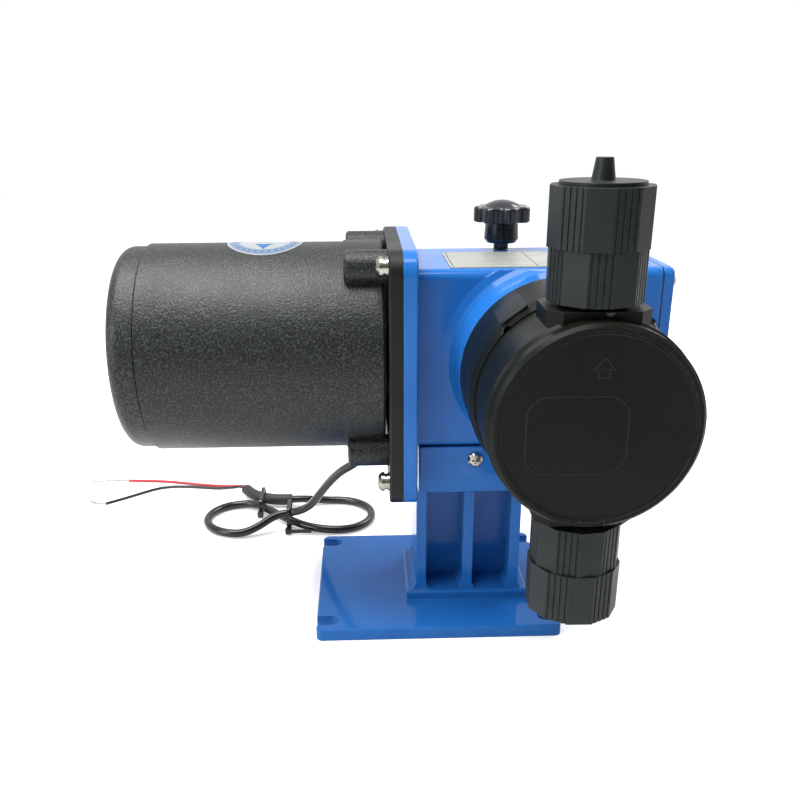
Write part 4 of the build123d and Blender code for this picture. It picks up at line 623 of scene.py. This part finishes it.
# return spring, copied from its node with its points welded; it keeps its modelled length and does not
# shorten with the push rod
def makeReturnSpring():
    source = frame["nodes"]["return_spring"]
    shape = bmesh.new()
    shape.from_mesh(source.data)
    bmesh.ops.transform(shape, matrix=source.matrix_world, verts=shape.verts)
    bmesh.ops.remove_doubles(shape, verts=shape.verts, dist=weldReach)
    bmesh.ops.recalc_face_normals(shape, faces=shape.faces)
    spring = meshObject("returnSpring", shape)
    dress(spring, finishes["groundSteel"])
    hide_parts("return_spring")
    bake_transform(spring)


makeReturnSpring()
print("spring made")


# nameplate: bare ruled plate on the housing; its seat is counted from the axis
plateSet = {"left": -52.7, "right": 46.0, "front": -35.2, "rear": 17.9, "thick": 0.5, "corner": 1.2,
            "soften": 0.12, "seat": 49.8, "metal": (0.36, 0.37, 0.34), "stain": (0.29, 0.30, 0.27),
            "ink": (0.008, 0.01, 0.012), "frameInset": 1.6, "lineHalf": 0.3,
            "dividers": (-5.9,), "rows": (-27.6, -20.0, -12.4, -4.8, 2.8, 10.4)}


def lineMask(tree, value, centre, half):
    away = addMath(tree, "ABSOLUTE", addMath(tree, "SUBTRACT", value, centre * mm))
    return addMath(tree, "LESS_THAN", away, half * mm)


def bandMask(tree, value, low, high):
    above = addMath(tree, "GREATER_THAN", value, low * mm)
    below = addMath(tree, "LESS_THAN", value, high * mm)
    return addMath(tree, "MULTIPLY", above, below)


def makePlateFinish(values):
    material = makeFinish("ruledPlate", {"main": values["metal"], "shade": values["stain"], "metallic": 0.35,
                                         "rough": (0.3, 0.42), "specular": 0.3, "grainScale": 1800,
                                         "grainHeight": 0.1, "tintScale": 60, "edgeRadius": 0.1})
    tree = material.node_tree
    shader = tree.nodes["Principled BSDF"]
    place = addNode(tree, "ShaderNodeSeparateXYZ", {0: objectPlace(tree)})
    x, y = place.outputs[0], place.outputs[1]
    inset, half = values["frameInset"], values["lineHalf"]
    left, right = values["left"] + inset, values["right"] - inset
    front, rear = values["front"] + inset, values["rear"] - inset
    inside = addMath(tree, "MULTIPLY", bandMask(tree, x, left - half, right + half),
                     bandMask(tree, y, front - half, rear + half))
    lines = [lineMask(tree, x, centre, half) for centre in (left, right) + values["dividers"]]
    lines += [lineMask(tree, y, centre, half) for centre in (front, rear) + values["rows"]]
    ink = addMath(tree, "MULTIPLY", addFold(tree, "MAXIMUM", *lines), inside)
    base = shader.inputs["Base Color"].links[0].from_socket
    tree.links.new(addMix(tree, ink, base, colour(values["ink"])), shader.inputs["Base Color"])
    return material


def makeNameplate(values):
    width = values["right"] - values["left"]
    depth = values["rear"] - values["front"]
    shape = flatShape(roundedCorners(width, depth, values["corner"]), values["thick"])
    softenTop(shape, values["thick"], values["soften"])
    middle = Vector(((values["left"] + values["right"]) / 2, (values["front"] + values["rear"]) / 2,
                     values["seat"])) * mm
    bmesh.ops.translate(shape, verts=shape.verts, vec=middle + Vector((0, 0, axisHeight)))
    meshPiece("nameplate", shape, makePlateFinish(values), "frame")


makeNameplate(plateSet)


# flow mark on the port block of the pump head
markSet = {"x": 3.0, "half": 2.3, "top": 215.0, "tip": 211.6, "face": -141.5, "thick": 0.3}


def makeFlowMark(values):
    shape = flatShape([(-values["half"], values["top"]), (0, values["tip"]), (values["half"], values["top"])],
                      values["thick"])
    turn = Matrix.Rotation(math.radians(90), 4, "X")
    place = Matrix.Translation(Vector((values["x"], values["face"], 0)) * mm)
    bmesh.ops.transform(shape, matrix=place @ turn, verts=shape.verts)
    meshPiece("flowMark", shape, finishes["blackGlossy"], "frame")


makeFlowMark(markSet)


# round sticker on the motor: band, rings, plain ticks and two blank triangles
# rings, band and tickPlace are shares of the sticker's radius; its seat is just above the barrel's
stickerSet = {"x": -153.6, "radius": 21.0, "seat": 59.22, "thick": 0.12, "print": 0.03,
              "white": (0.24, 0.255, 0.27), "pale": (0.115, 0.155, 0.205), "ink": (0.014, 0.09, 0.24),
              "rings": ((0.93, 0.91), (0.69, 0.675)), "band": (0.90, 0.70), "ticks": 28, "tickPlace": 0.80,
              "tick": (1.1, 2.4), "triangle": ((-4.9, 4.0), (4.9, 4.0), (0.0, 13.4)),
              "shadeShare": 0.9, "discRows": 23, "bandRows": 4, "triangleCuts": 5}


def wrapOnBarrel(shape, values, lift=0.0):
    # x stays, y is run round the barrel, z is height off it
    for vert in shape.verts:
        angle = -vert.co.y / (values["seat"] * mm)
        away = values["seat"] * mm + vert.co.z + lift * mm
        vert.co = Vector((vert.co.x + values["x"] * mm, -away * math.sin(angle),
                          axisHeight + away * math.cos(angle)))


def makeStickerFinish(name, main, shadeShare):
    return makeFinish(name, {"main": main, "shade": tuple(shadeShare * c for c in main),
                             "rough": (0.25, 0.4), "specular": 0.15, "grainScale": 1500,
                             "grainHeight": 0.05, "edgeRadius": 0.05})


def makeSticker(values):
    white, pale, ink = (makeStickerFinish("sticker" + key.capitalize(), values[key], values["shadeShare"])
                        for key in ("white", "pale", "ink"))
    radius, film, printed = values["radius"], values["thick"], values["print"]
    disc = sheetRing(radius, radius / (values["discRows"] + 1), values["discRows"], film, filled=True)
    wrapOnBarrel(disc, values)
    meshPiece("stickerDisc", disc, white, "frame")
    band = sheetRing(radius * values["band"][0], radius * values["band"][1], values["bandRows"], printed / 2)
    wrapOnBarrel(band, values, film)
    meshPiece("stickerBand", band, pale, "frame")
    for number, (outer, inner) in enumerate(values["rings"]):
        ring = sheetRing(radius * outer, radius * inner, 1, printed)
        wrapOnBarrel(ring, values, film)
        meshPiece("stickerRing" + str(number + 1), ring, ink, "frame")
    ticks = bmesh.new()
    for k in range(values["ticks"]):
        turn = Matrix.Rotation(2 * math.pi * k / values["ticks"], 4, "Z")
        out = Matrix.Translation((radius * values["tickPlace"] * mm, 0, printed * mm / 2))
        size = Matrix.Diagonal((values["tick"][1] * mm, values["tick"][0] * mm, printed * mm, 1))
        bmesh.ops.create_cube(ticks, size=1.0, matrix=turn @ out @ size)
    wrapOnBarrel(ticks, values, film)
    meshPiece("stickerTicks", ticks, ink, "frame")
    for number, side in enumerate((1, -1)):
        triangle = flatShape([(side * x, side * y) for x, y in values["triangle"]], printed)
        bmesh.ops.subdivide_edges(triangle, edges=triangle.edges, cuts=values["triangleCuts"],
                                  use_grid_fill=True)
        wrapOnBarrel(triangle, values, film)
        meshPiece("stickerTriangle" + str(number + 1), triangle, ink, "frame")


makeSticker(stickerSet)
print("plates and stickers placed")


# stage
stageSet = {"floorSize": 3.0, "floorDrop": 0.0002, "floorShade": 0.8, "floorRough": 0.9, "lift": 0.3,
            "front": 0.09, "behind": 0.95, "depthSpan": (-0.5, 0.4), "above": 0.5,
            "heightSpan": (0.2, 0.9), "glossSpan": (-0.1, 0.5)}
lampAim = (-0.05, 0, 0.12)
lampSet = {"keyLamp": {"place": (-0.35, -0.15, 1.1), "power": 20.0, "size": (0.9, 0.6)},
           "fillLamp": {"place": (-1.25, -0.75, 0.6), "power": 10.0, "size": (0.7, 0.7)},
           "rimLamp": {"place": (0.7, 0.6, 0.9), "power": 6.0, "size": (0.5, 0.5)}}


def makeFloor(values):
    shape = bmesh.new()
    bmesh.ops.create_grid(shape, x_segments=1, y_segments=1, size=values["floorSize"])
    floor = meshObject("floor", shape)
    floor.location = (0, 0, -values["floorDrop"])
    material = bpy.data.materials.new("paleFloor")
    material.use_nodes = True
    tree = material.node_tree
    shader = tree.nodes["Principled BSDF"]
    shade = values["floorShade"]
    shader.inputs["Base Color"].default_value = (shade, shade, shade, 1)
    shader.inputs["Roughness"].default_value = values["floorRough"]
    shader.inputs["Specular IOR Level"].default_value = 0.0
    path = addNode(tree, "ShaderNodeLightPath")
    shader.inputs["Emission Color"].default_value = (1, 1, 1, 1)
    tree.links.new(addMath(tree, "MULTIPLY", path.outputs["Is Camera Ray"], values["lift"]),
                   shader.inputs["Emission Strength"])
    floor.data.materials.append(material)


def makeWorld(values):
    # dim in front, bright behind and above
    # white to the camera, to transmitted rays and to reflections of what lies behind
    world = bpy.data.worlds.new("studio")
    scene.world = world
    world.use_nodes = True
    tree = world.node_tree
    tree.nodes.clear()
    around = addNode(tree, "ShaderNodeTexCoord").outputs["Generated"]
    place = addNode(tree, "ShaderNodeSeparateXYZ", {0: around})
    depth = addRange(tree, place.outputs[1], values["depthSpan"], values["front"], values["behind"])
    height = addRange(tree, place.outputs[2], values["heightSpan"], 0.0, values["above"])
    level = addMath(tree, "ADD", depth, height)
    soft = addNode(tree, "ShaderNodeBackground", {"Color": (1, 1, 1, 1), "Strength": level})
    white = addNode(tree, "ShaderNodeBackground", {"Color": (1, 1, 1, 1), "Strength": 1.0})
    path = addNode(tree, "ShaderNodeLightPath")
    behind = addRange(tree, place.outputs[1], values["glossSpan"])
    seen = addFold(tree, "MAXIMUM", path.outputs["Is Camera Ray"], path.outputs["Is Transmission Ray"],
                   addMath(tree, "MULTIPLY", path.outputs["Is Glossy Ray"], behind))
    mix = addNode(tree, "ShaderNodeMixShader", {0: seen, 1: soft.outputs[0], 2: white.outputs[0]})
    addNode(tree, "ShaderNodeOutputWorld", {"Surface": mix.outputs[0]})


def makeLamp(name, values):
    data = bpy.data.lights.new(name, "AREA")
    data.energy = values["power"]
    data.shape = "RECTANGLE"
    data.size, data.size_y = values["size"]
    lamp = bpy.data.objects.new(name, data)
    scene.collection.objects.link(lamp)
    lamp.location = values["place"]
    aim = Vector(lampAim) - Vector(values["place"])
    lamp.rotation_euler = aim.to_track_quat("-Z", "Y").to_euler()


makeFloor(stageSet)
makeWorld(stageSet)
for lampName, lampValues in lampSet.items():
    makeLamp(lampName, lampValues)
print("stage lit")
